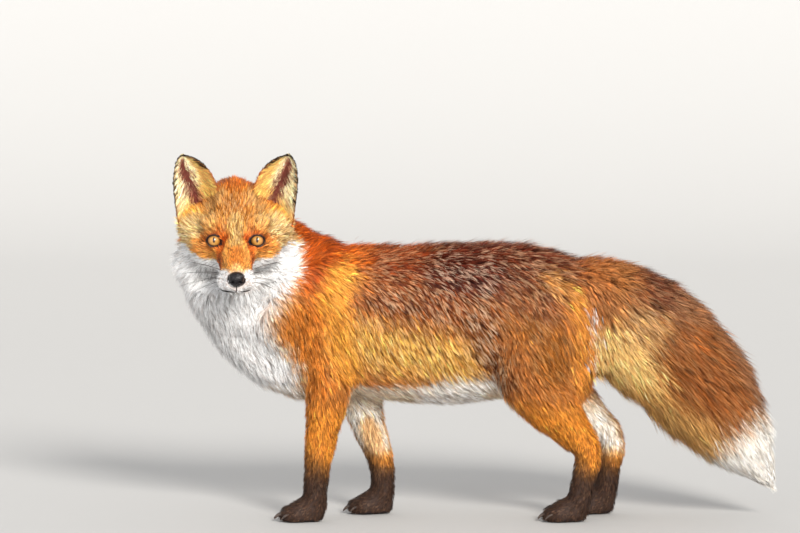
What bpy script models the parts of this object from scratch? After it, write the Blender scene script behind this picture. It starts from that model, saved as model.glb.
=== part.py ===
"""A life-size red fox, standing side on, with its head turned to its left.

The animal faces -X and its left flank faces -Y. Lengths are metres and +Z is up. The outline is that
of the winter coat: each form is a tube or an ellipsoid out to the tips of the fur. The forms are fused
by a voxel remesh, smoothed and thinned, and then parted into the parts that a person names.
"""

import math

import bmesh
import bpy
import numpy as np
from mathutils import Matrix, Quaternion, Vector

# Driving sizes of the animal.
TRUNK_FLATTEN = 0.70  # width of the trunk over its depth
NECK_FLATTEN = 0.80
TAIL_FLATTEN = 0.92
FOOT_ASIDE = 0.044  # a foot's distance from the middle plane
PAW_LONG = 0.060
PAW_WIDE = 0.040
PAW_TALL = 0.040
HEEL_BACK = 0.014  # the heel lies this far behind the middle of the wrist
TOES = ((-0.36, 0.66), (-0.13, 0.80), (0.13, 0.80), (0.36, 0.66))  # share of the paw's width, length
TOE_HEIGHT = 0.011
CLAW_ROOT = Vector((-0.0100, 0, 0.0020))  # from a toe's centre, inside its front
CLAW_TIP = Vector((-0.0215, 0, -0.0055))
CLAW_RADII = (0.0021, 0.0005)
EYE_MIDDLE = Vector((-0.315, -0.108, 0.3846))  # half way between the two eyes
HEAD_PITCH = math.radians(24.6)  # the face looks this far below level
HEAD_YAW = math.radians(2.2)  # and this far back toward the tail
EYE_ASIDE = 0.029  # an eye's distance from the middle of the face
EYE_RADIUS = 0.0105
SOCKET_RADIUS = 0.0120  # to the corners of a coarse ball that clears the eye
EYE_DEPTH = 0.007  # the eye's centre lies this far behind the line of the lids
EAR_THICK = 0.0035  # gristle, skin and the short fur on both faces
EAR_DEPTH = 0.026  # how far the back of the ear bulges

# Parting: where each length begins, and the way that it leads.
TAIL_ROOT = Vector((0.318, 0, 0.182))  # middle of the ball that takes the tail off the rump
TAIL_ROOT_RADII = (0.11, 0.11, 0.185)
TAIL_ALONG = Vector((0.72, 0, -0.69))
TAIL_MIDDLE_FROM = (0.250, 0, 0.240)
TAIL_TIP_FROM = (0.345, 0, 0.136)
TAIL_TIP_ALONG = (0.60, 0, -0.80)
HEAD_FROM = (-0.317, -0.045, 0.352)
HEAD_ALONG = (-0.35, -0.70, 0.62)
NECK_FROM = (-0.262, 0, 0.280)
NECK_ALONG = (-0.90, 0, 0.43)
JAW_FROM = 0.012  # the corner of the mouth, ahead of the eyes
LIPS_HEIGHT = -0.0348
SLEEVE_LONG, SLEEVE_WIDE = 0.092, 0.076  # half sizes of the dome that takes a leg off
SLEEVE_ASIDE = 0.078
SLEEVE_FOOT = 0.03  # its lower half is drawn down from this height
FORELEG_DOME = (-0.188, 0.250, 0.076)  # middle along the body, top, height of the crown
HINDLEG_DOME = (0.108, 0.305, 0.095)

# Making.
VOXEL = 0.0035
SMOOTH_ROUNDS = 22
FLESH_TRIANGLES = 3900
CLEARANCE = 0.0005  # between touching parts
BOX_CORNER = math.sqrt(3)  # a box's corners move outward this much further than its faces
REACH = 0.4  # longer than any part that a cut goes through
PAW_REACH = 0.2
FLOOR_REACH = 1.2
JAW_REACH = 0.14

COATS = {  # colour, roughness
    "russet_coat": ((0.48, 0.17, 0.045), 0.85),
    "white_coat": ((0.80, 0.77, 0.72), 0.85),
    "black_coat": ((0.035, 0.025, 0.02), 0.80),
    "ear_coat": ((0.72, 0.50, 0.25), 0.85),
    "nose_leather": ((0.012, 0.010, 0.010), 0.35),
    "eye_amber": ((0.45, 0.22, 0.03), 0.08),
}
SIDES = {"left": -1, "right": 1}  # the sign of Y on each side of the body

# The face's own axes are forward, aside (toward the animal's left, which is +X here) and up.
LEVEL_FACE = Matrix(((0, -1, 0), (1, 0, 0), (0, 0, 1))).transposed()
HEAD_TURN = Matrix.Rotation(HEAD_YAW, 3, "Z") @ Matrix.Rotation(HEAD_PITCH, 3, "X") @ LEVEL_FACE


def head(forward, aside, up):
    """A point given from the middle between the eyes, along the face's own axes."""
    return EYE_MIDDLE + HEAD_TURN @ Vector((forward, aside, up))


def clear_scene():
    for obj in list(bpy.data.objects):
        bpy.data.objects.remove(obj)


def collection(name):
    made = bpy.data.collections.new(name)
    bpy.context.scene.collection.children.link(made)
    return made


def coat_material(name):
    made = bpy.data.materials.get(name)
    if made is None:
        made = bpy.data.materials.new(name)
        made.use_nodes = True
        shader = made.node_tree.nodes["Principled BSDF"]
        colour, roughness = COATS[name]
        shader.inputs["Base Color"].default_value = (*colour, 1)
        shader.inputs["Roughness"].default_value = roughness
        made.diffuse_color = (*colour, 1)
    return made


def add_object(name, mesh, group):
    made = bpy.data.objects.new(name, mesh)
    group.objects.link(made)
    return made


def evaluated_mesh(obj):
    """The object's mesh with its modifiers applied."""
    bpy.context.view_layer.update()
    graph = bpy.context.evaluated_depsgraph_get()
    return bpy.data.meshes.new_from_object(obj.evaluated_get(graph), depsgraph=graph)


def apply_modifiers(obj):
    mesh = evaluated_mesh(obj)
    obj.modifiers.clear()
    obj.data = mesh


def weld(mesh, distance=0.00005):
    """Merges the doubled corners where a curve's caps meet its wall."""
    shape = bmesh.new()
    shape.from_mesh(mesh)
    bmesh.ops.remove_doubles(shape, verts=shape.verts, dist=distance)
    shape.to_mesh(mesh)
    shape.free()


# ---- forms ----

def tube_mesh(stations, flatten=1.0):
    """A closed tube through (x, y, z, radius) stations; flatten narrows it sideways, along Y."""
    curve = bpy.data.curves.new("tube", "CURVE")
    curve.dimensions = "3D"
    curve.bevel_depth = 1.0
    curve.bevel_resolution = 8
    curve.resolution_u = 6
    curve.use_fill_caps = True
    spline = curve.splines.new("BEZIER")
    spline.bezier_points.add(len(stations) - 1)
    for point, (x, y, z, radius) in zip(spline.bezier_points, stations):
        point.co = (x, y, z)
        point.radius = radius
        point.handle_left_type = point.handle_right_type = "AUTO"
    obj = bpy.data.objects.new("tube", curve)
    bpy.context.scene.collection.objects.link(obj)
    mesh = evaluated_mesh(obj)
    bpy.data.objects.remove(obj)
    weld(mesh)
    middle = Matrix.Translation((0, sum(s[1] for s in stations) / len(stations), 0))
    mesh.transform(middle @ Matrix.Diagonal((1, flatten, 1, 1)) @ middle.inverted())
    return mesh


def ball_mesh(centre, radii, turn=None, fineness=3):
    """An ellipsoid with its own axes turned by a quaternion."""
    shape = bmesh.new()
    bmesh.ops.create_icosphere(shape, subdivisions=fineness, radius=1.0)
    rotation = (turn or Quaternion()).to_matrix().to_4x4()
    place = Matrix.Translation(centre) @ rotation @ Matrix.Diagonal((*radii, 1))
    bmesh.ops.transform(shape, matrix=place, verts=shape.verts)
    mesh = bpy.data.meshes.new("ball")
    shape.to_mesh(mesh)
    shape.free()
    return mesh


def head_ball(forward, aside, up, radii, fineness=3):
    """An ellipsoid in the face's axes, with its radii forward, aside and up."""
    return ball_mesh(head(forward, aside, up), radii, HEAD_TURN.to_quaternion(), fineness)


def head_tube(stations, widen=1.0):
    """A tube down the middle of the face through (forward, up, radius), widened by a factor."""
    mesh = tube_mesh([(forward, 0.0, up, radius) for forward, up, radius in stations], widen)
    mesh.transform(Matrix.Translation(EYE_MIDDLE) @ HEAD_TURN.to_4x4())
    return mesh


def trunk_forms():
    spine = [  # along the body, height, half depth
        (-0.240, 0.279, 0.088),
        (-0.169, 0.273, 0.104),
        (-0.095, 0.267, 0.108),
        (-0.027, 0.267, 0.112),
        (0.040, 0.273, 0.108),
        (0.095, 0.284, 0.097),
        (0.140, 0.295, 0.073),
        (0.165, 0.300, 0.045),
    ]
    yield tube_mesh([(x, 0.0, z, depth) for x, z, depth in spine], TRUNK_FLATTEN)
    yield ball_mesh((-0.225, 0, 0.250), (0.070, 0.062, 0.090))
    yield ball_mesh((0.135, 0, 0.292), (0.055, 0.056, 0.064))


def neck_forms():
    nape = [
        (-0.150, 0.000, 0.285, 0.070),
        (-0.213, 0.000, 0.296, 0.095),
        (-0.262, 0.000, 0.306, 0.096),
        (-0.308, -0.012, 0.329, 0.084),
        (-0.318, -0.045, 0.362, 0.068),
    ]
    bib = [
        (-0.332, -0.008, 0.305, 0.050),
        (-0.296, -0.004, 0.250, 0.047),
        (-0.258, 0.000, 0.221, 0.047),
        (-0.215, 0.000, 0.223, 0.057),
    ]
    yield tube_mesh(nape, NECK_FLATTEN)
    yield tube_mesh(bib)
    yield ball_mesh((-0.258, -0.012, 0.366), (0.050, 0.050, 0.050))


def head_forms():
    yield head_ball(-0.066, 0, 0.013, (0.052, 0.050, 0.046))
    yield head_ball(-0.078, 0, -0.022, (0.044, 0.064, 0.060))
    muzzle = [(-0.030, -0.006, 0.042), (0.000, -0.012, 0.0270), (0.035, -0.0175, 0.0205),
              (0.068, -0.0192, 0.0168), (0.081, -0.0190, 0.0130)]
    yield head_tube(muzzle, 1.10)
    chin = [(-0.040, -0.040, 0.026), (0.000, -0.040, 0.018), (0.050, -0.0415, 0.0110),
            (0.064, -0.0410, 0.0080)]
    yield head_tube(chin, 1.3)
    for side in SIDES.values():
        yield head_ball(-0.056, side * 0.041, -0.012, (0.036, 0.0435, 0.046))
        yield head_ball(-0.064, side * 0.044, -0.060, (0.036, 0.0415, 0.058))
        yield head_ball(-0.034, side * 0.028, -0.024, (0.036, 0.034, 0.030))
        yield head_ball(0.054, side * 0.0130, -0.0270, (0.020, 0.0148, 0.0142))
        yield head_ball(-0.022, side * 0.026, 0.019, (0.024, 0.023, 0.014))
        yield head_ball(-0.068, side * 0.048, -0.002, (0.030, 0.034, 0.029))
        yield head_ball(-0.058, side * 0.016, 0.027, (0.034, 0.020, 0.031))


FRONT_LEGS = {  # joints (x, aside, z, radius) from shoulder to wrist, then the shoulder's muscle
    "left": ([(-0.200, 0.036, 0.250, 0.034), (-0.192, 0.044, 0.190, 0.0345),
              (-0.199, 0.046, 0.130, 0.0245), (-0.207, FOOT_ASIDE, 0.070, 0.0185),
              (-0.210, FOOT_ASIDE, 0.022, 0.0175)],
             (-0.200, 0.040, 0.268), (0.058, 0.036, 0.088), 12),
    "right": ([(-0.175, 0.036, 0.240, 0.034), (-0.156, 0.044, 0.185, 0.0345),
               (-0.139, 0.046, 0.125, 0.0240), (-0.120, FOOT_ASIDE, 0.068, 0.0185),
               (-0.118, FOOT_ASIDE, 0.022, 0.0175)],
              (-0.186, 0.040, 0.262), (0.058, 0.036, 0.084), 4),
}
HIND_LEGS = {  # joints from hip, by stifle and hock, to the foot, then the thigh's muscle
    "left": ([(0.105, 0.034, 0.280, 0.045), (0.078, 0.044, 0.215, 0.0520),
              (0.108, 0.046, 0.165, 0.0430), (0.136, FOOT_ASIDE, 0.128, 0.0290),
              (0.159, FOOT_ASIDE, 0.098, 0.0205), (0.155, FOOT_ASIDE, 0.060, 0.0175),
              (0.147, FOOT_ASIDE, 0.022, 0.0175)],
             (0.100, 0.038, 0.248), (0.076, 0.040, 0.105), -12),
    "right": ([(0.108, 0.034, 0.280, 0.045), (0.090, 0.044, 0.218, 0.0520),
               (0.128, 0.046, 0.168, 0.0420), (0.166, FOOT_ASIDE, 0.132, 0.0280),
               (0.193, FOOT_ASIDE, 0.104, 0.0205), (0.191, FOOT_ASIDE, 0.062, 0.0175),
               (0.185, FOOT_ASIDE, 0.022, 0.0175)],
              (0.102, 0.038, 0.248), (0.074, 0.040, 0.102), -14),
}
TAIL = [  # x, height, radius
    (0.130, 0.312, 0.046), (0.160, 0.303, 0.059), (0.190, 0.286, 0.073), (0.222, 0.262, 0.081),
    (0.264, 0.229, 0.081), (0.305, 0.186, 0.076), (0.343, 0.139, 0.062), (0.372, 0.101, 0.044),
    (0.394, 0.071, 0.025), (0.408, 0.050, 0.007),
]


def leg_forms():
    """Each leg is a tube down its joints and a muscle; each paw is a pad and four toes."""
    for name, side in SIDES.items():
        for joints, centre, radii, lean in (FRONT_LEGS[name], HIND_LEGS[name]):
            yield tube_mesh([(x, side * aside, z, radius) for x, aside, z, radius in joints])
            place = (centre[0], side * centre[1], centre[2])
            yield ball_mesh(place, radii, Quaternion((0, 1, 0), math.radians(lean)))
            yield from paw_forms(joints[-1][0], side * joints[-1][1])


def toes(heel, middle):
    """Each toe's foremost point and its place across the paw, the inner two ahead."""
    for spread, reach in TOES:
        yield Vector((heel - reach * PAW_LONG, middle + spread * PAW_WIDE, TOE_HEIGHT))


def paw_forms(wrist, middle):
    heel = wrist + HEEL_BACK
    yield ball_mesh((heel - 0.42 * PAW_LONG, middle, 0.015), (0.45 * PAW_LONG, 0.44 * PAW_WIDE, 0.020))
    for toe in toes(heel, middle):
        yield ball_mesh(toe, (0.0155, 0.0080, 0.0140), fineness=2)


# ---- fusing and parting ----

def fused(forms, group):
    """The forms as one closed body: voxel remesh, then a smoothing that spares feet and face."""
    shape = bmesh.new()
    for mesh in forms:
        shape.from_mesh(mesh)
        bpy.data.meshes.remove(mesh)
    mesh = bpy.data.meshes.new("flesh")
    shape.to_mesh(mesh)
    shape.free()
    obj = add_object("flesh", mesh, group)
    remesh = obj.modifiers.new("fuse", "REMESH")
    remesh.mode = "VOXEL"
    remesh.voxel_size = VOXEL
    apply_modifiers(obj)
    weigh_softness(obj)
    smooth = obj.modifiers.new("smooth", "SMOOTH")
    smooth.iterations = SMOOTH_ROUNDS
    smooth.vertex_group = "soft"
    thin = obj.modifiers.new("thin", "DECIMATE")
    obj.data.calc_loop_triangles()
    thin.ratio = FLESH_TRIANGLES / len(obj.data.loop_triangles)
    thin.vertex_group = "soft"
    thin.vertex_group_factor = 3.0
    apply_modifiers(obj)
    return obj


def weigh_softness(obj):
    """Weights for smoothing and thinning: 1 on the trunk, less on the face, least on the feet."""
    places = np.empty(len(obj.data.vertices) * 3, np.float32)
    obj.data.vertices.foreach_get("co", places)
    places = places.reshape(-1, 3)
    off_feet = np.clip((places[:, 2] - 0.035) / 0.05, 0.10, 1)
    forward = (places - np.array(EYE_MIDDLE)) @ np.array(HEAD_TURN.col[0])
    off_face = np.clip((-0.03 - forward) / 0.06, 0.20, 1)
    weights = np.round(off_feet * off_face, 2)
    group = obj.vertex_groups.new(name="soft")
    for weight in np.unique(weights):
        group.add(np.flatnonzero(weights == weight).tolist(), float(weight), "REPLACE")


def boolean(obj, operation, mesh):
    """Cuts or clips an object by a closed mesh."""
    cutter = add_object("cutter", mesh, bpy.data.collections["cutters"])
    modifier = obj.modifiers.new(operation, "BOOLEAN")
    modifier.operation = operation
    modifier.object = cutter
    apply_modifiers(obj)
    bpy.data.objects.remove(cutter)


def grown(mesh, distance):
    """A copy of a closed mesh whose corners move outward by a distance."""
    copy = mesh.copy()
    count = len(copy.vertices)
    places = np.empty(count * 3, np.float32)
    normals = np.empty(count * 3, np.float32)
    copy.vertices.foreach_get("co", places)
    copy.vertex_normals.foreach_get("vector", normals)
    copy.vertices.foreach_set("co", places + normals * distance)
    return copy


def part_off(body, cutter, name, clearance=CLEARANCE):
    """Takes what lies inside the cutter off the body, as an object of its own."""
    piece = add_object(name, body.data.copy(), body.users_collection[0])
    boolean(piece, "INTERSECT", cutter)
    boolean(body, "DIFFERENCE", grown(cutter, clearance))
    return piece


def box_mesh(point, outward, size=REACH):
    """A box that lies wholly on one side of a plane, on the side that outward points to."""
    outward = Vector(outward).normalized()
    shape = bmesh.new()
    bmesh.ops.create_cube(shape, size=size)
    turn = outward.to_track_quat("Z", "Y").to_matrix().to_4x4()
    place = Matrix.Translation(Vector(point) + outward * size / 2) @ turn
    bmesh.ops.transform(shape, matrix=place, verts=shape.verts)
    mesh = bpy.data.meshes.new("box")
    shape.to_mesh(mesh)
    shape.free()
    return mesh


def part_plane(body, point, outward, name, size=REACH):
    """Parts off what lies beyond a plane."""
    return part_off(body, box_mesh(point, outward, size), name, CLEARANCE * BOX_CORNER)


def keep_main_body(obj):
    """Drops the crumbs that a cut leaves: only the largest separate body stays."""
    shape = bmesh.new()
    shape.from_mesh(obj.data)
    unseen = set(shape.verts)
    bodies = []
    while unseen:
        front = [unseen.pop()]
        body = set(front)
        while front:
            for edge in front.pop().link_edges:
                fresh = unseen.intersection(edge.verts)
                unseen -= fresh
                body |= fresh
                front.extend(fresh)
        bodies.append(body)
    main_body = max(bodies, key=len)
    crumbs = [vertex for vertex in shape.verts if vertex not in main_body]
    bmesh.ops.delete(shape, geom=crumbs, context="VERTS")
    shape.to_mesh(obj.data)
    shape.free()
    print(obj.name, len(obj.data.polygons), "faces,", len(crumbs), "loose corners dropped")


def leg_sleeve(foot, side, top):
    """A dome on upright walls that holds one whole leg: a ball with its lower half drawn down."""
    middle, height, tall = top
    shape = bmesh.new()
    bmesh.ops.create_uvsphere(shape, u_segments=18, v_segments=8, radius=1.0)
    for vertex in shape.verts:
        below = vertex.co.z < -0.01
        vertex.co *= Vector((SLEEVE_LONG, SLEEVE_WIDE, tall))
        vertex.co += Vector((foot[0] if below else middle, side * SLEEVE_ASIDE,
                             SLEEVE_FOOT if below else height - tall))
    mesh = bpy.data.meshes.new("sleeve")
    shape.to_mesh(mesh)
    shape.free()
    return mesh


def claws(paw, heel, middle):
    """Four claws, each a short cone that grows from the front of a toe."""
    for toe in toes(heel, middle):
        root = toe + CLAW_ROOT
        tip = toe + CLAW_TIP
        along = tip - root
        turn = along.to_track_quat("Z", "Y").to_matrix().to_4x4()
        shape = bmesh.new()
        place = Matrix.Translation((root + tip) / 2) @ turn
        bmesh.ops.create_cone(shape, cap_ends=True, segments=6, radius1=CLAW_RADII[0],
                              radius2=CLAW_RADII[1], depth=along.length, matrix=place)
        mesh = bpy.data.meshes.new("claw")
        shape.to_mesh(mesh)
        shape.free()
        boolean(paw, "UNION", mesh)


def part_legs(trunk):
    """Each leg comes off the trunk by its sleeve, and its paw by a level cut."""
    for name, side in SIDES.items():
        for end, joints, dome in (("fore", FRONT_LEGS[name][0], FORELEG_DOME),
                                  ("hind", HIND_LEGS[name][0], HINDLEG_DOME)):
            wrist = joints[-1][0]
            leg = part_off(trunk, leg_sleeve(joints[-1], side, dome), f"{end}leg_{name}")
            paw_top = (wrist, side * FOOT_ASIDE, PAW_TALL)
            paw = part_plane(leg, paw_top, (0, 0, -1), f"{end}paw_{name}", PAW_REACH)
            keep_main_body(leg)
            keep_main_body(paw)
            claws(paw, wrist + HEEL_BACK, side * FOOT_ASIDE)
            paw.data.materials[0] = coat_material("black_coat")


def part_tail(trunk):
    """Three lengths: the root ends in a ball on the rump, and the last length is the white tip."""
    sleeve = ball_mesh(TAIL_ROOT, TAIL_ROOT_RADII, TAIL_ALONG.to_track_quat("Z", "Y"))
    whole = part_off(trunk, sleeve, "tail_base")
    rest = part_plane(whole, TAIL_MIDDLE_FROM, TAIL_ALONG, "tail_middle")
    tip = part_plane(rest, TAIL_TIP_FROM, TAIL_TIP_ALONG, "tail_tip")
    tip.data.materials[0] = coat_material("white_coat")
    for piece in (whole, rest, tip):
        keep_main_body(piece)


def bezier(start, control, end, steps):
    """Points of the curve that leaves start towards control and reaches end from it."""
    steps = steps[:, None]
    start, control, end = (np.array(point) for point in (start, control, end))
    return start * (1 - steps) ** 2 + control * 2 * steps * (1 - steps) + end * steps ** 2


def ear_mesh(side, count=7):
    """A leaf between two curved edges that meet in a round tip, bulging backward like a cupped hand.

    The coordinates are the face's own: forward, aside, up.
    """
    steps = np.linspace(-0.12, 0.97, count)
    inner = bezier((-0.050, 0.020, 0.053), (-0.062, 0.033, 0.1019), (-0.066, 0.072, 0.1012), steps)
    outer = bezier((-0.042, 0.078, 0.004), (-0.054, 0.095, 0.0924), (-0.066, 0.072, 0.1012), steps)
    across = np.linspace(0, 1, count)[None, :, None]
    leaf = inner[:, None] * (1 - across) + outer[:, None] * across
    leaf[..., 0] -= EAR_DEPTH * np.sin(np.pi * across[..., 0]) * (1 - steps[:, None]) ** 0.8
    leaf[..., 1] *= side
    shape = bmesh.new()
    rows = [[shape.verts.new(head(*place)) for place in row] for row in leaf]
    for low, high in zip(rows, rows[1:]):
        for corners in zip(low, low[1:], high[1:], high):
            shape.faces.new(corners if side > 0 else corners[::-1])
    mesh = bpy.data.meshes.new("ear")
    shape.to_mesh(mesh)
    shape.free()
    return mesh


def add_ears(skull):
    """Each ear is a solidified leaf whose root is cut back to the skull's surface."""
    for name, side in (("left", 1), ("right", -1)):
        ear = add_object(f"ear_{name}", ear_mesh(side), skull.users_collection[0])
        solidify = ear.modifiers.new("gristle", "SOLIDIFY")
        solidify.thickness = EAR_THICK
        solidify.offset = 0
        apply_modifiers(ear)
        boolean(ear, "DIFFERENCE", grown(skull.data, CLEARANCE))
        ear.data.materials.clear()
        ear.data.materials.append(coat_material("ear_coat"))
        keep_main_body(ear)


def add_eyes(skull):
    """Each eyeball sits in a socket, with a hollow before it that leaves the eye in sight."""
    for name, side in (("left", 1), ("right", -1)):
        centre = head(-EYE_DEPTH, side * EYE_ASIDE, 0)
        hollow = head_ball(0.013, side * (EYE_ASIDE + 0.001), 0.002, (0.021, 0.0155, 0.0135), 2)
        boolean(skull, "DIFFERENCE", hollow)
        boolean(skull, "DIFFERENCE", ball_mesh(centre, [SOCKET_RADIUS] * 3, None, 2))
        eye = add_object(f"eye_{name}", ball_mesh(centre, [EYE_RADIUS] * 3), skull.users_collection[0])
        eye.data.materials.append(coat_material("eye_amber"))


def add_nose(skull):
    """The bare nose leather, let into the end of the muzzle."""
    nose = add_object("nose_pad", head_ball(0.0775, 0, -0.0115, (0.0105, 0.0115, 0.0098)),
                      skull.users_collection[0])
    nose.data.materials.append(coat_material("nose_leather"))
    boolean(skull, "DIFFERENCE", grown(nose.data, CLEARANCE))


def part_jaw(skull):
    """The lower jaw, parted from the head along the lips, from the chin to the corner of the mouth."""
    shape = bmesh.new()
    bmesh.ops.create_cube(shape, size=JAW_REACH)
    middle = head(JAW_FROM + JAW_REACH / 2, 0, LIPS_HEIGHT - JAW_REACH / 2)
    place = Matrix.Translation(middle) @ HEAD_TURN.to_4x4()
    bmesh.ops.transform(shape, matrix=place, verts=shape.verts)
    mesh = bpy.data.meshes.new("jaw")
    shape.to_mesh(mesh)
    shape.free()
    jaw = part_off(skull, mesh, "lower_jaw", CLEARANCE * BOX_CORNER)
    jaw.data.materials[0] = coat_material("white_coat")
    keep_main_body(jaw)


def stand_at_origin(group):
    """Moves every part so that the middle of the underside of the whole is the origin."""
    corners = [Vector(vertex.co) for obj in group.objects for vertex in obj.data.vertices]
    low = Vector([min(corner[axis] for corner in corners) for axis in range(3)])
    high = Vector([max(corner[axis] for corner in corners) for axis in range(3)])
    shift = Vector(((low.x + high.x) / -2, (low.y + high.y) / -2, -low.z))
    for obj in group.objects:
        obj.data.transform(Matrix.Translation(shift))
    print("size", [round(v, 4) for v in high - low], "shift", [round(v, 5) for v in shift])
    return shift


def main():
    clear_scene()
    parts = collection("red_fox")
    collection("cutters")
    tail = tube_mesh([(x, 0.0, z, radius) for x, z, radius in TAIL], TAIL_FLATTEN)
    forms = [*trunk_forms(), *neck_forms(), *head_forms(), *leg_forms(), tail]
    trunk = fused(forms, parts)
    trunk.name = "trunk"
    trunk.data.materials.append(coat_material("russet_coat"))
    boolean(trunk, "DIFFERENCE", box_mesh((0, 0, 0), (0, 0, -1), FLOOR_REACH))
    part_tail(trunk)
    part_legs(trunk)
    skull = part_plane(trunk, HEAD_FROM, HEAD_ALONG, "head")
    neck = part_plane(trunk, NECK_FROM, NECK_ALONG, "neck")
    for piece in (trunk, skull, neck):
        keep_main_body(piece)
    add_ears(skull)
    add_eyes(skull)
    add_nose(skull)
    part_jaw(skull)
    keep_main_body(skull)
    return stand_at_origin(parts)


SHIFT = main()
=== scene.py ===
# %% [markdown]
# A life-size red fox in winter coat. It stands side on and looks over its left shoulder. The animal is
# made the way a museum's model maker works: a smooth body without hair, then eyes, lids, nose and lips,
# then some hundred thousand locks of fur that are laid over it along the lie of the coat.

import contextlib
import math

import bmesh
import bpy
import numpy as np
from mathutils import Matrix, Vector


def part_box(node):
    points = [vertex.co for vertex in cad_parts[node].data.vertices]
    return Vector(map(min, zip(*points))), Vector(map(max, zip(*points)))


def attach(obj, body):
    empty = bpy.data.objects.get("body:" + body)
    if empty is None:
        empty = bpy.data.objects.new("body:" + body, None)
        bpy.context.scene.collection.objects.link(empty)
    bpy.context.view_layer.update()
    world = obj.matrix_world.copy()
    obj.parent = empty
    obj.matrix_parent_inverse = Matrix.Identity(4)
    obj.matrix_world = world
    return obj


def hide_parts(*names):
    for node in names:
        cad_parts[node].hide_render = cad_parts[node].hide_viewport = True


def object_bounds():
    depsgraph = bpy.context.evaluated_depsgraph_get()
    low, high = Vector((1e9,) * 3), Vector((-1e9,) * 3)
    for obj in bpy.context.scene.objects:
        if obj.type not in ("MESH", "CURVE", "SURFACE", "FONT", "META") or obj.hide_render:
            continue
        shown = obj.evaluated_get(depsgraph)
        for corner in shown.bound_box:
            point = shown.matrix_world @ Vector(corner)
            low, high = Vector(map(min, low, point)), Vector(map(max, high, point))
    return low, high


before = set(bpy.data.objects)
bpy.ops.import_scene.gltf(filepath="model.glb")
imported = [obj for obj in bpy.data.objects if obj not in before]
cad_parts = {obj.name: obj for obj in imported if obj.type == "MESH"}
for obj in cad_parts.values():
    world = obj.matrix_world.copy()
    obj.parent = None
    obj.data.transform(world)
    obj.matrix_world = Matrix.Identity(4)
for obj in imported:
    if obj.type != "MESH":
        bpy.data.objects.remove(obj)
cad_low, cad_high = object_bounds()
print("frame box", [round(v, 3) for v in (*cad_low, *cad_high)])

# %% [markdown]
# Two helpers carry arrays into Blender's meshes and back. Arrays matter here: a coat of a million
# triangles can't be built corner by corner, but numpy makes it in seconds.

# %% Arrays in and out of meshes
SCENE = bpy.context.scene


def fetch(items, name, width, kind=np.float32):
    """One property of every item, as an array with a row for each item."""
    values = np.empty(len(items) * width, kind)
    items.foreach_get(name, values)
    return values.reshape(-1, width).astype(float if kind == np.float32 else int)


def numbers(items, name):
    """One whole number of every item."""
    return fetch(items, name, 1, np.int32)[:, 0]


@contextlib.contextmanager
def opened(mesh):
    """The mesh opened for Blender's own mesh tools, and closed again after them."""
    shape = bmesh.new()
    shape.from_mesh(mesh)
    yield shape
    shape.to_mesh(mesh)
    shape.free()


def put_in_scene(name, mesh):
    """An object for the mesh, at the origin, unturned and unscaled."""
    made = bpy.data.objects.new(name, mesh)
    SCENE.collection.objects.link(made)
    return made


def piece(name, places, faces, smooth=True):
    """A mesh object from an array of places and an array of faces that all have as many corners."""
    mesh = bpy.data.meshes.new(name)
    mesh.vertices.add(len(places))
    mesh.vertices.foreach_set("co", np.ascontiguousarray(places, np.float32).ravel())
    mesh.loops.add(faces.size)
    mesh.loops.foreach_set("vertex_index", np.ascontiguousarray(faces, np.int32).ravel())
    mesh.polygons.add(len(faces))
    mesh.polygons.foreach_set("loop_start", np.arange(0, faces.size, faces.shape[1], dtype=np.int32))
    mesh.polygons.foreach_set("use_smooth", np.full(len(faces), smooth))
    mesh.update(calc_edges=True)
    return put_in_scene(name, mesh)


def finished(obj):
    """The object's modifiers, worked into its mesh."""
    graph = bpy.context.evaluated_depsgraph_get()
    mesh = bpy.data.meshes.new_from_object(obj.evaluated_get(graph), depsgraph=graph)
    obj.modifiers.clear()
    obj.data = mesh
    return obj


def modify(obj, kind, **settings):
    """One modifier with its settings, applied at once."""
    modifier = obj.modifiers.new(kind.lower(), kind)
    for name, value in settings.items():
        setattr(modifier, name, value)
    return finished(obj)


def unit(vectors):
    """Each vector divided by its length."""
    vectors = np.asarray(vectors, float)
    return vectors / np.maximum(np.linalg.norm(vectors, axis=-1, keepdims=True), 1e-12)


def ramp(values, low, high):
    """0 up to low and 1 from high on, with a smooth step 3t^2 - 2t^3 between them."""
    t = np.clip((np.asarray(values, float) - low) / (high - low), 0, 1)
    return t * t * (3 - 2 * t)

# %% [markdown]
# Places on the animal are told in two ways. The face has axes of its own, forward, aside and up, which
# the eyes and the nose pad fix: the head is turned, so no axis of the room follows it. Everything
# behind the head is told in metres behind the breast, aside of the middle and above the floor.

# %% Landmarks from the frame
NOSE_SINKS = math.atan2(0.0115, 0.0845)  # the nose pad lies this angle below straight ahead
EYE_SUNK = 0.007  # the eyes' centres lie this far behind the line of the lids


def middle(node):
    """The middle of a node's box."""
    low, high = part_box(node)
    return (np.array(low) + np.array(high)) / 2


EYES = {1: middle("eye_left"), -1: middle("eye_right")}
EYE_RADIUS = (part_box("eye_left")[1].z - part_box("eye_left")[0].z) / 2
NOSE = middle("nose_pad")
ASIDE = unit(EYES[1] - EYES[-1])
between = (EYES[1] + EYES[-1]) / 2
to_nose = NOSE - between
to_nose = unit(to_nose - ASIDE * (to_nose @ ASIDE))
FORWARD = math.cos(NOSE_SINKS) * to_nose + math.sin(NOSE_SINKS) * np.cross(to_nose, ASIDE)
UP = np.cross(FORWARD, ASIDE)
FACE = np.array([FORWARD, ASIDE, UP])
LIDS = between + EYE_SUNK * FORWARD
BREAST = np.array([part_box("trunk")[0].x, middle("trunk")[1], 0.0])


def face(places):
    """From the face's own axes to the room's: LIDS + forward F + aside A + up U."""
    return LIDS + np.asarray(places, float) @ FACE


def in_face(places):
    """From the room's axes to the face's."""
    return (places - LIDS) @ FACE.T


def in_half_face(places):
    """From the room's axes to the face's, with the right half laid on the left."""
    own = in_face(places)
    own[:, 1] = np.abs(own[:, 1])
    return own


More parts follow.
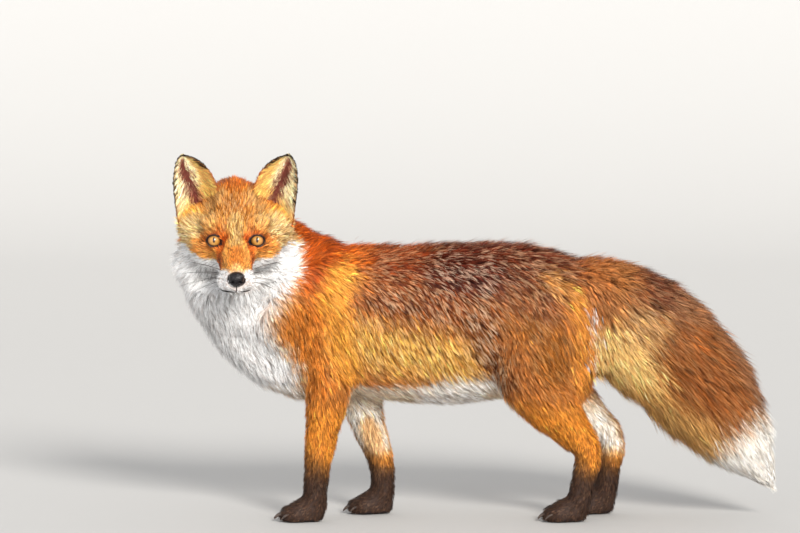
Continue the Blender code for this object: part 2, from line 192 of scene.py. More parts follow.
def inside_ball(places, centre, size, low, high):
    """1 - ramp(r) with r = |(place - centre) / size|: 1 inside low times a stretched ball, 0 past high."""
    return 1 - ramp(np.linalg.norm((places - centre) / size, axis=1), low, high)


def body(places):
    """From metres behind the breast, aside and up to the room's axes."""
    return BREAST + np.asarray(places, float)


def in_body(places):
    """From the room's axes to metres behind the breast, aside and up."""
    return places - BREAST


def both_sides(*kinds):
    """The names of the left and the right node of each kind."""
    return [f"{kind}_{side}" for kind in kinds for side in ("left", "right")]


def node_places(node):
    """The corners of a node of the frame."""
    return fetch(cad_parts[node].data.vertices, "co", 3)


def leg_axis(node, height, reach=0.012):
    """The middle of a leg at a height: of the box around its corners near there."""
    places = node_places(node)
    near = places[np.abs(places[:, 2] - height) < reach]
    return (near.min(0) + near.max(0)) / 2


print("eyes", np.round(EYES[1], 3), "forward", np.round(FORWARD, 3), "breast", np.round(BREAST, 3))

# %% [markdown]
# The lie of the coat is what makes fur read as fur. Hair leaves the nose and flows back over the face,
# fans out over the cheeks, runs down the neck and along the back, and turns down over flanks and
# thighs. A table of guides says at a few dozen places which way the hair lies, how long it is and how
# thick the coat stands. Between the guides the values are blended by nearness.

# %% Guides on the face
FACE_GUIDES = [  # place forward, aside, up; way forward, aside, up; length and thickness in millimetres
    (0.074, 0.000, 0.000, -1.0, 0.00, 0.30, 3, 1.2),
    (0.050, 0.000, 0.001, -1.0, 0.00, 0.25, 5, 1.8),
    (0.025, 0.000, 0.008, -1.0, 0.00, 0.35, 6, 2.2),
    (0.000, 0.000, 0.016, -0.8, 0.00, 0.60, 8, 3.0),
    (-0.018, 0.000, 0.032, -0.75, 0.00, 0.65, 9, 3.5),
    (-0.040, 0.000, 0.048, -0.95, 0.00, 0.30, 9, 4.0),
    (-0.068, 0.000, 0.060, -0.9, 0.00, -0.30, 11, 4.5),
    (-0.008, 0.022, 0.022, -0.5, 0.15, 0.80, 9, 3.0),
    (-0.014, 0.042, 0.016, -0.5, 0.55, 0.60, 9, 3.0),
    (-0.016, 0.050, 0.000, -0.5, 0.85, 0.05, 10, 3.2),
    (-0.006, 0.034, -0.020, -0.6, 0.75, -0.30, 9, 3.0),
    (0.008, 0.020, -0.006, -0.9, 0.30, 0.10, 5, 2.0),
    (0.060, 0.014, -0.010, -1.0, 0.15, 0.05, 4, 1.6),
    (0.040, 0.019, -0.022, -1.0, 0.25, -0.15, 5, 2.0),
    (0.012, 0.026, -0.028, -0.8, 0.60, -0.20, 9, 3.0),
    (0.068, 0.013, -0.030, -0.6, 0.60, -0.45, 4, 1.6),
    (0.048, 0.016, -0.036, -0.9, 0.30, -0.30, 5, 2.0),
    (0.060, 0.000, -0.052, -0.9, 0.00, -0.45, 6, 2.5),
    (0.020, 0.010, -0.060, -0.9, 0.10, -0.50, 11, 4.0),
    (-0.020, 0.000, -0.068, -0.6, 0.00, -0.80, 16, 7.0),
    (-0.025, 0.055, -0.025, -0.75, 0.58, -0.28, 11, 5.0),
    (-0.045, 0.078, -0.030, -0.78, 0.32, -0.54, 13, 6.0),
    (-0.040, 0.060, -0.060, -0.50, 0.36, -0.78, 16, 7.0),
    (-0.040, 0.035, -0.085, -0.35, 0.25, -0.90, 17, 7.5),
    (-0.036, 0.058, 0.012, -0.60, 0.60, 0.50, 13, 6.0),
    (-0.045, 0.070, -0.005, -0.84, 0.42, -0.24, 11, 5.0),
    (-0.034, 0.042, 0.030, -0.60, 0.42, 0.68, 12, 5.0),
    (-0.085, 0.060, 0.030, -0.62, 0.20, -0.75, 14, 6.0),
    (-0.088, 0.000, 0.054, -0.50, 0.00, -0.87, 14, 6.0),
    (-0.082, 0.035, 0.050, -0.50, 0.12, -0.86, 14, 6.0),
    (-0.110, 0.000, 0.030, -0.45, 0.00, -0.89, 17, 7.5),
    (-0.100, 0.060, -0.030, -0.70, 0.25, -0.65, 17, 8.0),
]
print("guides on the face", len(FACE_GUIDES))

# %% Guides on the body
BODY_GUIDES = [  # metres behind the breast, aside, up; way back, aside, up; length and thickness
    (0.045, 0.000, 0.400, 0.90, 0.00, -0.35, 19, 9.5),
    (0.020, 0.060, 0.350, 0.75, 0.05, -0.66, 17, 8.5),
    (-0.030, 0.050, 0.300, 0.50, 0.05, -0.86, 17, 8.5),
    (-0.060, 0.020, 0.320, 0.20, 0.00, -1.00, 17, 8.5),
    (-0.040, 0.020, 0.255, 0.45, 0.00, -0.90, 18, 9.0),
    (0.000, 0.015, 0.200, 0.75, 0.00, -0.70, 18, 9.0),
    (0.050, 0.050, 0.210, 0.50, -0.05, -0.85, 18, 9.5),
    (0.070, 0.000, 0.170, 0.90, 0.00, -0.25, 16, 7.5),
    (0.103, 0.000, 0.385, 1.00, 0.00, -0.15, 20, 9.5),
    (0.100, 0.070, 0.330, 0.60, 0.05, -0.80, 18, 8.5),
    (0.085, 0.078, 0.270, 0.35, 0.00, -0.95, 16, 7.5),
    (0.160, 0.075, 0.260, 0.42, 0.00, -0.91, 17, 8.0),
    (0.200, 0.000, 0.380, 1.00, 0.00, -0.10, 21, 10.5),
    (0.250, 0.060, 0.355, 0.74, 0.05, -0.68, 19, 9.5),
    (0.260, 0.080, 0.290, 0.54, 0.00, -0.84, 17, 8.0),
    (0.260, 0.072, 0.220, 0.52, -0.05, -0.85, 17, 8.0),
    (0.180, 0.040, 0.165, 0.95, -0.10, -0.30, 16, 7.5),
    (0.290, 0.035, 0.165, 0.95, -0.10, -0.25, 16, 7.5),
    (0.330, 0.000, 0.383, 1.00, 0.00, -0.12, 21, 10.5),
    (0.345, 0.060, 0.350, 0.72, 0.05, -0.70, 19, 9.5),
    (0.430, 0.000, 0.370, 0.93, 0.00, -0.40, 21, 10.5),
    (0.400, 0.080, 0.300, 0.60, 0.05, -0.80, 18, 8.5),
    (0.375, 0.085, 0.235, 0.50, 0.00, -0.88, 16, 7.0),
    (0.440, 0.070, 0.250, 0.30, 0.05, -0.95, 19, 8.5),
    (0.330, 0.055, 0.190, 0.60, 0.00, -0.80, 15, 7.0),
    (0.460, 0.030, 0.240, 0.30, 0.00, -0.95, 18, 7.5),
]
print("guides on the body", len(BODY_GUIDES))

# %% Guides on the legs and along the tail
LEG_GUIDES = [  # node, height; way back, aside, up; length and thickness
    ("foreleg", 0.170, 0.25, 0.00, -1.00, 15, 5.0),
    ("foreleg", 0.130, 0.15, 0.00, -1.00, 11, 4.0),
    ("foreleg", 0.090, 0.05, 0.00, -1.00, 9, 3.0),
    ("foreleg", 0.055, 0.00, 0.00, -1.00, 7, 2.5),
    ("forepaw", 0.020, -0.75, 0.00, -0.60, 5, 1.8),
    ("hindleg", 0.170, 0.60, 0.00, -0.80, 15, 5.5),
    ("hindleg", 0.130, 0.50, 0.00, -0.90, 11, 4.0),
    ("hindleg", 0.090, 0.05, 0.00, -1.00, 8, 3.0),
    ("hindleg", 0.055, -0.05, 0.00, -1.00, 7, 2.5),
    ("hindpaw", 0.020, -0.75, 0.00, -0.60, 5, 1.8),
]
TAIL_STATIONS = (  # share along the tail; length and thickness
    (0.0, 27, 12.5), (0.45, 32, 15.5), (0.85, 31, 12.0), (1.02, 22, 5.0), (1.12, 18, 3.0))
TAIL_HALF = 0.068  # from the tail's axis to the guides around it, up to where the tail narrows
TAIL_NARROWS = (0.7, 1.2)  # between these shares
TAIL_FLARE = 0.12  # the hair leans out of the tail's axis by this much
tail_axis = np.array([middle(n) for n in ("tail_base", "tail_middle", "tail_tip")])
print("guides on the legs", 2 * len(LEG_GUIDES), "on the tail", 4 * len(TAIL_STATIONS))

# %% From the tables to the room
MIRROR = np.array([1, -1, 1, 1, -1, 1, 1, 1])  # changes the sign of aside in the place and in the way


def mirrored(rows, place):
    """Both sides of a table's rows: those off the middle come again, times MIRROR."""
    rows = np.array(rows)
    other = rows * MIRROR
    rows = np.vstack([rows, other[rows[:, 1] > 0]])
    return place(rows)


def face_rows(rows):
    """Rows of the face, turned into the room's axes."""
    return np.hstack([face(rows[:, :3]), rows[:, 3:6] @ FACE, rows[:, 6:]])


def body_rows(rows):
    """Rows of the body, moved into the room's axes."""
    return np.hstack([body(rows[:, :3]), rows[:, 3:]])


def leg_rows():
    """A row on the axis of each leg at each height."""
    return np.array([(*leg_axis(f"{kind}_{side}", height), *rest)
                     for kind, height, *rest in LEG_GUIDES for side in ("left", "right")])


def tail_rows():
    """Four rows around the tail's axis at each station; their way is the axis + TAIL_FLARE outward."""
    rows = []
    for share, length, thickness in TAIL_STATIONS:
        along = tail_axis[1] - tail_axis[0] if share < 0.5 else tail_axis[2] - tail_axis[1]
        centre = tail_axis[0] + (tail_axis[2] - tail_axis[0]) * share
        above = unit(np.cross(np.cross(along, (0, 0, 1)), along))
        half = TAIL_HALF * (1 - ramp(share, *TAIL_NARROWS))
        for out in (above, -above, (0, 1, 0), (0, -1, 0)):
            rows.append((*(centre + half * np.array(out)), *(unit(along) + TAIL_FLARE * np.array(out)),
                         length, thickness))
    return np.array(rows)


GUIDES = np.vstack([mirrored(FACE_GUIDES, face_rows), mirrored(BODY_GUIDES, body_rows),
                    leg_rows(), tail_rows()])
print("guides", len(GUIDES))

# %% [markdown]
# Between the guides the lie is a weighted mean. A weight that falls with the fourth power of the
# distance lets the nearest guides speak, and yet changes without a step from one to the next.

# %% The lie at any place
NEARNESS = 0.008  # a guide's say is level within this distance of it


def lie_at(places, chunk=20000):
    """Way, length and thickness, each the mean of the guides' with weights 1 / (d^2 + e^2)^2."""
    found = []
    for start in range(0, len(places), chunk):
        apart = places[start:start + chunk, None] - GUIDES[None, :, :3]
        weight = 1 / ((apart ** 2).sum(-1) + NEARNESS ** 2) ** 2
        found.append((weight @ GUIDES[:, 3:]) / weight.sum(1, keepdims=True))
    found = np.vstack(found)
    return unit(found[:, :3]), found[:, 3] / 1000, found[:, 4] / 1000


breast_way, breast_length, breast_thick = lie_at(body([[0.0, 0.0, 0.25]]))
print("on the breast the hair is", round(1000 * breast_length[0]), "mm long, the coat",
      round(1000 * breast_thick[0]), "mm thick, way", np.round(breast_way[0], 2))

# %% [markdown]
# The skin is one closed surface. The frame's parts, each pushed out by a millimetre so that they meet,
# are fused by a voxel remesh; relaxing then takes out the facets, and every point sinks by the
# thickness of the coat there. A Smooth modifier would shrink the muzzle, so each round moves the points
# towards their neighbours' mean and back out again, which leaves the volume as it is.

# %% Parts and sizes of the skin
LIMBS = both_sides("foreleg", "forepaw", "hindleg", "hindpaw")
FLESH = ["trunk", "neck", "head", "lower_jaw", *LIMBS, "tail_base", "tail_middle", "tail_tip"]
EARS = both_sides("ear")
SWELL = 0.0011  # every part is pushed out by this, so that neighbours meet
SKIN_VOXEL = 0.0032
ORBIT_RADIUS = EYE_RADIUS + 0.0058  # flesh around the eyeball, before the coat's depth is taken off
ORBIT_BACK = 0.003  # and how far its middle lies behind the eye's
RELAX_ROUNDS = 24
BODY_ROUNDS = 60  # more of them behind the face, where the facets are larger
SINK_STEPS = 4
PINCH_ROUNDS = 5
PINCHED = (0.12, 0.28)  # between these bends the relaxing of pinched places sets in
SOLE_SHARE = 0.25  # of the coat's thickness is left under the soles
TUCKS = [  # place in the face, radius, extra depth: the hollows before the ears, the cheeks' rims
    ((-0.046, 0.047, 0.034), 0.030, 0.0060), ((-0.050, 0.084, -0.030), 0.046, 0.0075)]
LEAST_SOLE = 0.0012  # how far the pads of the feet stay above the floor
print("parts of the skin", len(FLESH) + len(EARS))

# %% Welding, relaxing and simple shapes
def weld(mesh, distance=0.00002):
    """Merges corners that lie on each other."""
    with opened(mesh) as shape:
        bmesh.ops.remove_doubles(shape, verts=shape.verts, dist=distance)


def relaxed(places, edges, rounds, inward=0.55, outward=-0.57, share=1.0):
    """Each round adds inward, then outward, times the way to the neighbours' mean, times a share."""
    count = np.bincount(edges.ravel(), minlength=len(places)).astype(float)[:, None]
    for step in (inward, outward) * rounds:
        total = np.stack([
            np.bincount(edges[:, 0], places[edges[:, 1], axis], len(places))
            + np.bincount(edges[:, 1], places[edges[:, 0], axis], len(places)) for axis in range(3)], 1)
        places = places + step * share * (total / count - places)
    return places


def grid_faces(rows, columns, closed=True):
    """Quads of a grid of rows by columns; closed joins the last column to the first."""
    row, column = np.meshgrid(np.arange(rows - 1), np.arange(columns if closed else columns - 1),
                              indexing="ij")
    after = (column + 1) % columns
    corners = [row * columns + column, (row + 1) * columns + column,
               (row + 1) * columns + after, row * columns + after]
    return np.stack(corners, -1).reshape(-1, 4)


def ball(centre, radius, rows=16, columns=24):
    """Places r (sin d cos a, sin d sin a, cos d) and quads of a sphere, from pole to pole."""
    down, round_ = np.meshgrid(np.linspace(0, np.pi, rows), np.linspace(0, 2 * np.pi, columns + 1)[:-1],
                               indexing="ij")
    places = np.stack([np.sin(down) * np.cos(round_), np.sin(down) * np.sin(round_), np.cos(down)], -1)
    return np.asarray(centre) + radius * places.reshape(-1, 3), grid_faces(rows, columns)

# %% One body from the parts
def fused_flesh():
    """The flesh of the whole animal as one mesh: parts and the balls of flesh around the eyes."""
    shape = bmesh.new()
    for node in FLESH:
        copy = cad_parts[node].data.copy()
        weld(copy)
        normals = fetch(copy.vertex_normals, "vector", 3)
        copy.vertices.foreach_set("co", (fetch(copy.vertices, "co", 3) + SWELL * normals).ravel())
        shape.from_mesh(copy)
    for eye in EYES.values():
        orbit = piece("orbit", *ball(eye - ORBIT_BACK * FORWARD, ORBIT_RADIUS))
        weld(orbit.data)
        shape.from_mesh(orbit.data)
        bpy.data.objects.remove(orbit)
    mesh = bpy.data.meshes.new("skin")
    shape.to_mesh(mesh)
    shape.free()
    return modify(put_in_scene("skin", mesh), "REMESH", mode="VOXEL", voxel_size=SKIN_VOXEL)


def only_outside(obj):
    """Deletes the little shells that overlapping parts leave inside: all but the piece of corner 0."""
    with opened(obj.data) as shape:
        shape.verts.ensure_lookup_table()
        known, newest = {shape.verts[0]}, [shape.verts[0]]
        while newest:
            links = [link for corner in newest for link in corner.link_edges]
            newest = {corner for link in links for corner in link.verts} - known
            known |= newest
        inner = [corner for corner in shape.verts if corner not in known]
        bmesh.ops.delete(shape, geom=inner, context="VERTS")
    return obj


skin = only_outside(fused_flesh())
print("fused", len(skin.data.vertices), "corners")

# %% [markdown]
# The coat is deepest on neck, back and tail and thinnest on face and paws, so every point of the skin
# sinks by its own depth. Sinking pinches a crease here and there, which hair would grow out of in all
# directions: such places are found by how far their normals turn, and relaxed once more.

# %% The skin sunk below the coat
def bent_at(normals, edges):
    """How far each corner's normal turns from its neighbours': 1 minus the mean of their products."""
    same = (normals[edges[:, 0]] * normals[edges[:, 1]]).sum(1)
    total = np.bincount(edges[:, 0], same, len(normals)) + np.bincount(edges[:, 1], same, len(normals))
    return 1 - total / np.bincount(edges.ravel(), minlength=len(normals))


def normals_at(obj, places):
    """Puts the corners there and gives back their normals."""
    obj.data.vertices.foreach_set("co", places.ravel())
    obj.data.update()
    return fetch(obj.data.vertex_normals, "vector", 3)


edges = fetch(skin.data.edges, "vertices", 2, np.int32)
places = relaxed(fetch(skin.data.vertices, "co", 3), edges, RELAX_ROUNDS)
own = in_half_face(places)
behind = 1 - ramp(own[:, :1], -0.10, -0.05) * ramp(own[:, 2:], -0.11, -0.08)  # 0 on the face, 1 elsewhere
places = relaxed(places, edges, BODY_ROUNDS, 0.63, -0.648, behind)
depth = lie_at(places)[2] * (SOLE_SHARE + (1 - SOLE_SHARE) * ramp(places[:, 2], 0.002, 0.02)) + SWELL
for centre, radius, more in TUCKS:
    depth += more * inside_ball(in_half_face(places), centre, radius, 0.3, 1.0)
for _ in range(SINK_STEPS):
    places = places - normals_at(skin, places) * depth[:, None] / SINK_STEPS
    places = relaxed(places, edges, 3)
for _ in range(PINCH_ROUNDS):
    bent = ramp(bent_at(normals_at(skin, places), edges), *PINCHED)[:, None]
    places = relaxed(places, edges, 6, 0.5, 0.0, bent)
places[:, 2] = np.maximum(places[:, 2], LEAST_SOLE)
normals_at(skin, places)
print("skin", len(skin.data.vertices), "corners", len(skin.data.polygons), "faces")

# %% [markdown]
# A fox's ear is a thin leaf, cupped like a hand, between two curved edges that meet in a round tip. Its
# wall is thinner than the remesh can hold, so it is worked out as a surface and joined to the skull by
# a Boolean union, which leaves one closed skin. A material slot of its own marks the ear's faces.

# %% The ear as a leaf
EAR_INNER = np.array([(-0.047, 0.021, 0.050), (-0.059, 0.0345, 0.0998), (-0.063, 0.072, 0.0995)])
EAR_OUTER = np.array([(-0.039, 0.077, 0.003), (-0.051, 0.0935, 0.0915), (-0.063, 0.072, 0.0995)])
EAR_DEPTH = 0.024  # how far the back bulges
EAR_WALL = 0.0022
EAR_ROOT = -0.30  # the leaf goes on into the skull down to this share of its length
EAR_ANCHOR = np.array([-0.064, 0.034, 0.010])  # and draws together towards this place there,
EAR_DRAW = 0.7  # by this share of the way
EAR_ROWS, EAR_COLUMNS = 30, 16


def edge_at(edge, t):
    """The quadratic curve (1-t)^2 A + 2t(1-t) B + t^2 C through an edge's three points."""
    t = t[..., None]
    return (1 - t) ** 2 * edge[0] + 2 * t * (1 - t) * edge[1] + t ** 2 * edge[2]


def ear_leaf(across, t, side):
    """The leaf in the face's axes: a mix of its edges, sunk back by sin(pi s) (1-t)^0.8."""
    above = np.maximum(t, 0)
    share = across[..., None]
    leaf = edge_at(EAR_INNER, above) * (1 - share) + edge_at(EAR_OUTER, above) * share
    leaf[..., 0] -= EAR_DEPTH * np.sin(np.pi * across) * np.clip(1 - above, 0, None) ** 0.8
    leaf += (EAR_ANCHOR - leaf) * EAR_DRAW * (np.minimum(t, 0) / EAR_ROOT)[..., None]
    leaf[..., 1] *= side
    return leaf


def ear_frame(across, t, side, step=0.01):
    """The leaf's places, its normals on the open side, and its way towards the tip, in the room's axes."""
    here = face(ear_leaf(across, t, side))
    upward = face(ear_leaf(across, np.minimum(t + step, 1), side)) - face(ear_leaf(across, t - step, side))
    sideways = face(ear_leaf(across + step, t, side)) - face(ear_leaf(across - step, t, side))
    return here, -side * unit(np.cross(upward, sideways)), unit(upward)


tip = ear_frame(np.array([0.5]), np.array([0.99]), 1)[0][0]
print("left ear's tip", np.round(tip, 3))

# %% The ear's wall
def ear_shell(side):
    """Front and back of the leaf, w (4s (1-s))^0.35 apart, as one closed wall."""
    across = np.concatenate([np.linspace(0, 1, EAR_COLUMNS), np.linspace(1, 0, EAR_COLUMNS)[1:-1]])
    front = np.arange(len(across)) < EAR_COLUMNS
    t, across = np.meshgrid(np.linspace(EAR_ROOT, 0.995, EAR_ROWS), across, indexing="ij")
    here, out, _ = ear_frame(np.clip(across, 0.012, 0.988), t, side)
    wall = EAR_WALL * (4 * across * (1 - across)).clip(0) ** 0.35 / 2
    places = here + out * np.where(front, wall, -wall)[..., None]
    return piece("ear_shell", places.reshape(-1, 3), grid_faces(EAR_ROWS, places.shape[1]))


def closed_outward(obj):
    """Merges doubles, fills the open rims and turns every face outward."""
    with opened(obj.data) as shape:
        bmesh.ops.remove_doubles(shape, verts=shape.verts, dist=0.00005)
        bmesh.ops.holes_fill(shape, edges=[edge for edge in shape.edges if edge.is_boundary])
        bmesh.ops.recalc_face_normals(shape, faces=shape.faces)
    return obj


def combined(name, objects):
    """Several closed meshes as one object."""
    shape = bmesh.new()
    for obj in objects:
        shape.from_mesh(obj.data)
        bpy.data.objects.remove(obj)
    mesh = bpy.data.meshes.new(name)
    shape.to_mesh(mesh)
    shape.free()
    return put_in_scene(name, mesh)


def volume(obj):
    """The volume inside a closed surface, below 0 when it is inside out."""
    shape = bmesh.new()
    shape.from_mesh(obj.data)
    found = shape.calc_volume(signed=True)
    shape.free()
    return found


print("volume of the skin", round(volume(skin), 6))

# %% Ears joined to the skull
skin_material = bpy.data.materials.new("fox_skin")
ear_material = bpy.data.materials.new("ear_skin")
ears = combined("ears", [closed_outward(ear_shell(side)) for side in (1, -1)])
for obj in (skin, ears):
    obj.data.materials.append(skin_material)
    obj.data.materials.append(ear_material)
ears.data.polygons.foreach_set("material_index", np.full(len(ears.data.polygons), 1, np.int32))
modify(skin, "BOOLEAN", operation="UNION", object=ears, solver="MANIFOLD")
print("volume with ears", round(volume(skin), 6))
bpy.data.objects.remove(ears)

# %% [markdown]
# The eyes look level while the face looks down, so the lids' opening is laid out around the line of
# sight. The opening is an almond, pointed and lower at the inner corner. A cone of that outline and the
# ball itself are cut out of the skin, and what stays between them is the lid.

# %% Openings for the eyes
LOOKS_UP = math.radians(5)
SIGHT = np.array([0.0, -math.cos(LOOKS_UP), math.sin(LOOKS_UP)])
SIGHT_ASIDE = np.array([1.0, 0.0, 0.0])
SIGHT_UP = np.cross(SIGHT, SIGHT_ASIDE)
LID_UPPER, LID_LOWER = 0.0067, 0.0068  # half heights of the opening
LID_OUTER, LID_INNER = 0.0096, 0.0112  # from the eye's middle to the two corners
TEAR_DROP = 0.0034  # the inner corner lies this much lower
AROUND = np.linspace(0, 2 * np.pi, 48, endpoint=False)
CONE_RINGS = (0.25, 0.9, 1.35, 2.4)  # how far out the cutting cone's rings lie, in radii of the ball


def almond(grow=0.0):
    """Aside (away from the nose) and up along the opening's edge: an ellipse in four quarters, that drops
    towards its inner corner; grow widens it.
    """
    cosine, sine = np.cos(AROUND), np.sin(AROUND)
    aside = cosine * (np.where(cosine > 0, LID_OUTER, LID_INNER) + grow)
    up = sine * np.abs(sine) ** 0.15 * (np.where(sine > 0, LID_UPPER, LID_LOWER) + grow)
    inner = np.clip(-aside / LID_INNER, 0, 1)
    return aside, up * (1 - 0.25 * inner ** 2) - TEAR_DROP * inner ** 2.5


def around_eye(side, aside, up, out):
    """Places around an eye: aside away from the nose, up, and out along the line of sight."""
    outward = side * SIGHT_ASIDE
    return (EYES[side] + aside[..., None] * outward + up[..., None] * SIGHT_UP
            + np.asarray(out)[..., None] * SIGHT)


def eye_cutter(side):
    """The eyeball with a little room, and a cone of the lids' outline: almond times 0.55 + 0.45 s."""
    aside, up = almond()
    rings = []
    for share in CONE_RINGS:
        wide = 0.55 + 0.45 * share
        out = np.full(len(AROUND), 0.95 * EYE_RADIUS * share)
        rings.append(around_eye(side, aside * wide, up * wide, out))
    cone = piece("cone", np.concatenate(rings), grid_faces(len(rings), len(AROUND)))
    eyeball = piece("eyeball", *ball(EYES[side], EYE_RADIUS + 0.0003, 24, 36))
    return closed_outward(cone), closed_outward(eyeball)


for side in EYES:
    for cutter in eye_cutter(side):
        modify(skin, "BOOLEAN", operation="DIFFERENCE", object=cutter, solver="MANIFOLD")
        bpy.data.objects.remove(cutter)
skin.data.polygons.foreach_set("use_smooth", np.full(len(skin.data.polygons), True))
print("skin with ears and lids", len(skin.data.polygons), "faces, volume", round(volume(skin), 6))

# %% [markdown]
# A fox's colours have soft borders, but sit at fixed places: rust around the eyes, a white lip and
# cheek, a golden streak behind the shoulder, a dark saddle, a white bib. They are laid on as brush
# strokes, each a line between two places with a width, in the face's axes, on the body's side, around
# a leg or along the tail. Skin and hair are painted by the same strokes. The last number is how much
# the hairs differ from each other there: where it is high, pale and dark hairs mix.

# %% Strokes on the face: from, to, width, colour, strength, mixing of pale and dark hairs
WHITE = (250, 249, 248)
FACE_STROKES = [
    ((-0.050, 0.000, 0.046), (-0.090, 0.000, 0.052), 0.034, (190, 106, 26), 1.0, 0.35),
    ((-0.100, 0.000, 0.030), (-0.130, 0.000, 0.000), 0.060, (178, 88, 28), 1.0, 0.20),
    ((-0.084, 0.072, -0.008), (-0.092, 0.050, 0.030), 0.034, (184, 94, 34), 1.0, 0.20),
    ((-0.044, 0.024, 0.046), (-0.050, 0.032, 0.040), 0.018, (206, 154, 90), 0.9, 0.40),
    ((-0.040, 0.060, 0.022), (-0.050, 0.076, 0.012), 0.019, (240, 168, 70), 1.0, 0.15),
    ((-0.022, 0.032, 0.024), (-0.036, 0.056, 0.018), 0.018, (214, 172, 108), 1.0, 0.50),
    ((-0.034, 0.054, 0.000), (-0.050, 0.080, -0.012), 0.026, (232, 194, 128), 1.0, 0.50),
    ((-0.018, 0.000, 0.034), (-0.034, 0.000, 0.044), 0.020, (182, 116, 48), 0.9, 0.66),
    ((-0.016, 0.018, 0.028), (-0.030, 0.024, 0.036), 0.011, (184, 118, 48), 0.8, 0.62),
    ((-0.002, 0.024, 0.008), (-0.013, 0.044, -0.004), 0.0160, (194, 98, 34), 0.95, 0.20),
    ((-0.010, 0.046, -0.010), (-0.018, 0.058, -0.012), 0.012, (232, 150, 70), 0.9, 0.30),
    ((0.014, 0.000, 0.011), (-0.016, 0.000, 0.030), 0.0115, (196, 154, 86), 1.0, 0.62),
    ((0.002, 0.0135, 0.012), (0.006, 0.0165, 0.000), 0.0060, (156, 62, 18), 0.8, 0.20),
    ((-0.004, 0.020, 0.022), (-0.014, 0.028, 0.026), 0.0060, (156, 84, 34), 0.5, 0.60),
    ((0.000, 0.0235, -0.0120), (-0.010, 0.040, -0.0065), 0.0026, (246, 208, 164), 0.8, 0.10),
    ((0.032, 0.000, 0.007), (0.046, 0.000, 0.003), 0.0150, (204, 122, 50), 1.0, 0.14),
    ((0.058, 0.000, -0.002), (0.068, 0.000, -0.004), 0.0095, (232, 184, 120), 0.8, 0.10),
    ((0.004, 0.019, -0.006), (0.036, 0.0235, -0.018), 0.0105, (196, 94, 34), 0.85, 0.10),
    ((0.012, 0.0200, -0.010), (0.042, 0.0240, -0.0210), 0.0050, (104, 48, 20), 0.85, 0.10),
]
WHITE_LINE = np.array([  # forward, and how far up the white of lips and cheeks reaches there
    (-0.140, -0.120), (-0.090, -0.075), (-0.070, -0.034), (-0.045, -0.026), (-0.030, -0.030),
    (0.000, -0.0245), (0.020, -0.0235), (0.034, -0.0225), (0.046, -0.0130), (0.060, -0.0060),
    (0.090, -0.0060)])
print("strokes on the face", len(FACE_STROKES))

# %% Strokes on the side of the body
SIDE_STROKES = [  # behind the breast and up
    ((-0.01, 0.405), (0.06, 0.400), 0.045, (176, 82, 24), 1.0, 0.15),
    ((0.14, 0.385), (0.20, 0.375), 0.045, (200, 92, 20), 1.0, 0.22),
    ((0.06, 0.395), (0.11, 0.385), 0.040, (164, 68, 12), 1.0, 0.12),
    ((0.07, 0.340), (0.09, 0.300), 0.046, (174, 72, 13), 1.0, 0.14),
    ((0.07, 0.280), (0.09, 0.200), 0.045, (196, 114, 40), 1.0, 0.24),
    ((0.18, 0.340), (0.18, 0.300), 0.026, (180, 104, 42), 0.8, 0.45),
    ((0.20, 0.395), (0.30, 0.385), 0.040, (186, 90, 34), 1.0, 0.50),
    ((0.30, 0.390), (0.42, 0.370), 0.048, (108, 40, 19), 1.0, 0.72),
    ((0.20, 0.345), (0.28, 0.335), 0.034, (122, 50, 20), 0.9, 0.75),
    ((0.28, 0.335), (0.40, 0.320), 0.038, (90, 31, 14), 1.0, 0.96),
    ((0.19, 0.295), (0.33, 0.275), 0.032, (140, 74, 32), 0.9, 0.90),
    ((0.15, 0.240), (0.31, 0.214), 0.040, (226, 172, 84), 1.0, 0.60),
    ((0.136, 0.332), (0.118, 0.300), 0.021, (242, 166, 64), 0.95, 0.10),
    ((0.120, 0.300), (0.140, 0.200), 0.022, (224, 150, 56), 0.9, 0.18),
    ((0.32, 0.265), (0.345, 0.190), 0.024, (136, 84, 48), 0.9, 0.95),
    ((0.38, 0.290), (0.42, 0.210), 0.038, (160, 98, 40), 1.0, 0.34),
    ((0.36, 0.300), (0.40, 0.290), 0.024, (136, 78, 42), 0.8, 0.60),
    ((0.37, 0.335), (0.44, 0.330), 0.024, (108, 54, 28), 0.8, 0.75),
    ((0.415, 0.325), (0.450, 0.300), 0.014, (216, 156, 80), 0.8, 0.35),
    ((0.452, 0.300), (0.462, 0.180), 0.014, (214, 138, 56), 0.9, 0.15),
]
print("strokes on the side", len(SIDE_STROKES))

# %% Strokes on breast, belly and tail
BIB_STROKES = [  # behind the breast and up
    ((-0.100, 0.350), (-0.070, 0.270), 0.070, WHITE, 1.0, 0.16),
    ((-0.020, 0.335), (-0.050, 0.270), 0.093, WHITE, 1.0, 0.16),
    ((-0.040, 0.260), (0.024, 0.190), 0.060, WHITE, 1.0, 0.16),
    ((0.471, 0.276), (0.477, 0.218), 0.0042, WHITE, 0.9, 0.20),
]
UNDER_STROKES = [  # behind the breast, aside, up
    ((0.020, 0.000, 0.185), (0.090, 0.000, 0.160), 0.046, WHITE, 1.0, 0.12),
    ((0.110, 0.000, 0.150), (0.250, 0.000, 0.158), 0.046, (240, 232, 222), 1.0, 0.22),
    ((0.150, 0.040, 0.160), (0.250, 0.040, 0.166), 0.022, (238, 228, 214), 1.0, 0.30),
    ((0.250, 0.000, 0.165), (0.350, 0.000, 0.172), 0.052, (240, 232, 222), 1.0, 0.22),
    ((0.270, 0.045, 0.180), (0.330, 0.050, 0.174), 0.022, (238, 230, 218), 1.0, 0.30),
    ((0.340, 0.045, 0.165), (0.378, 0.050, 0.140), 0.018, (236, 226, 214), 1.0, 0.20),
    ((0.420, 0.000, 0.230), (0.455, 0.000, 0.250), 0.040, (240, 232, 222), 1.0, 0.20),
]
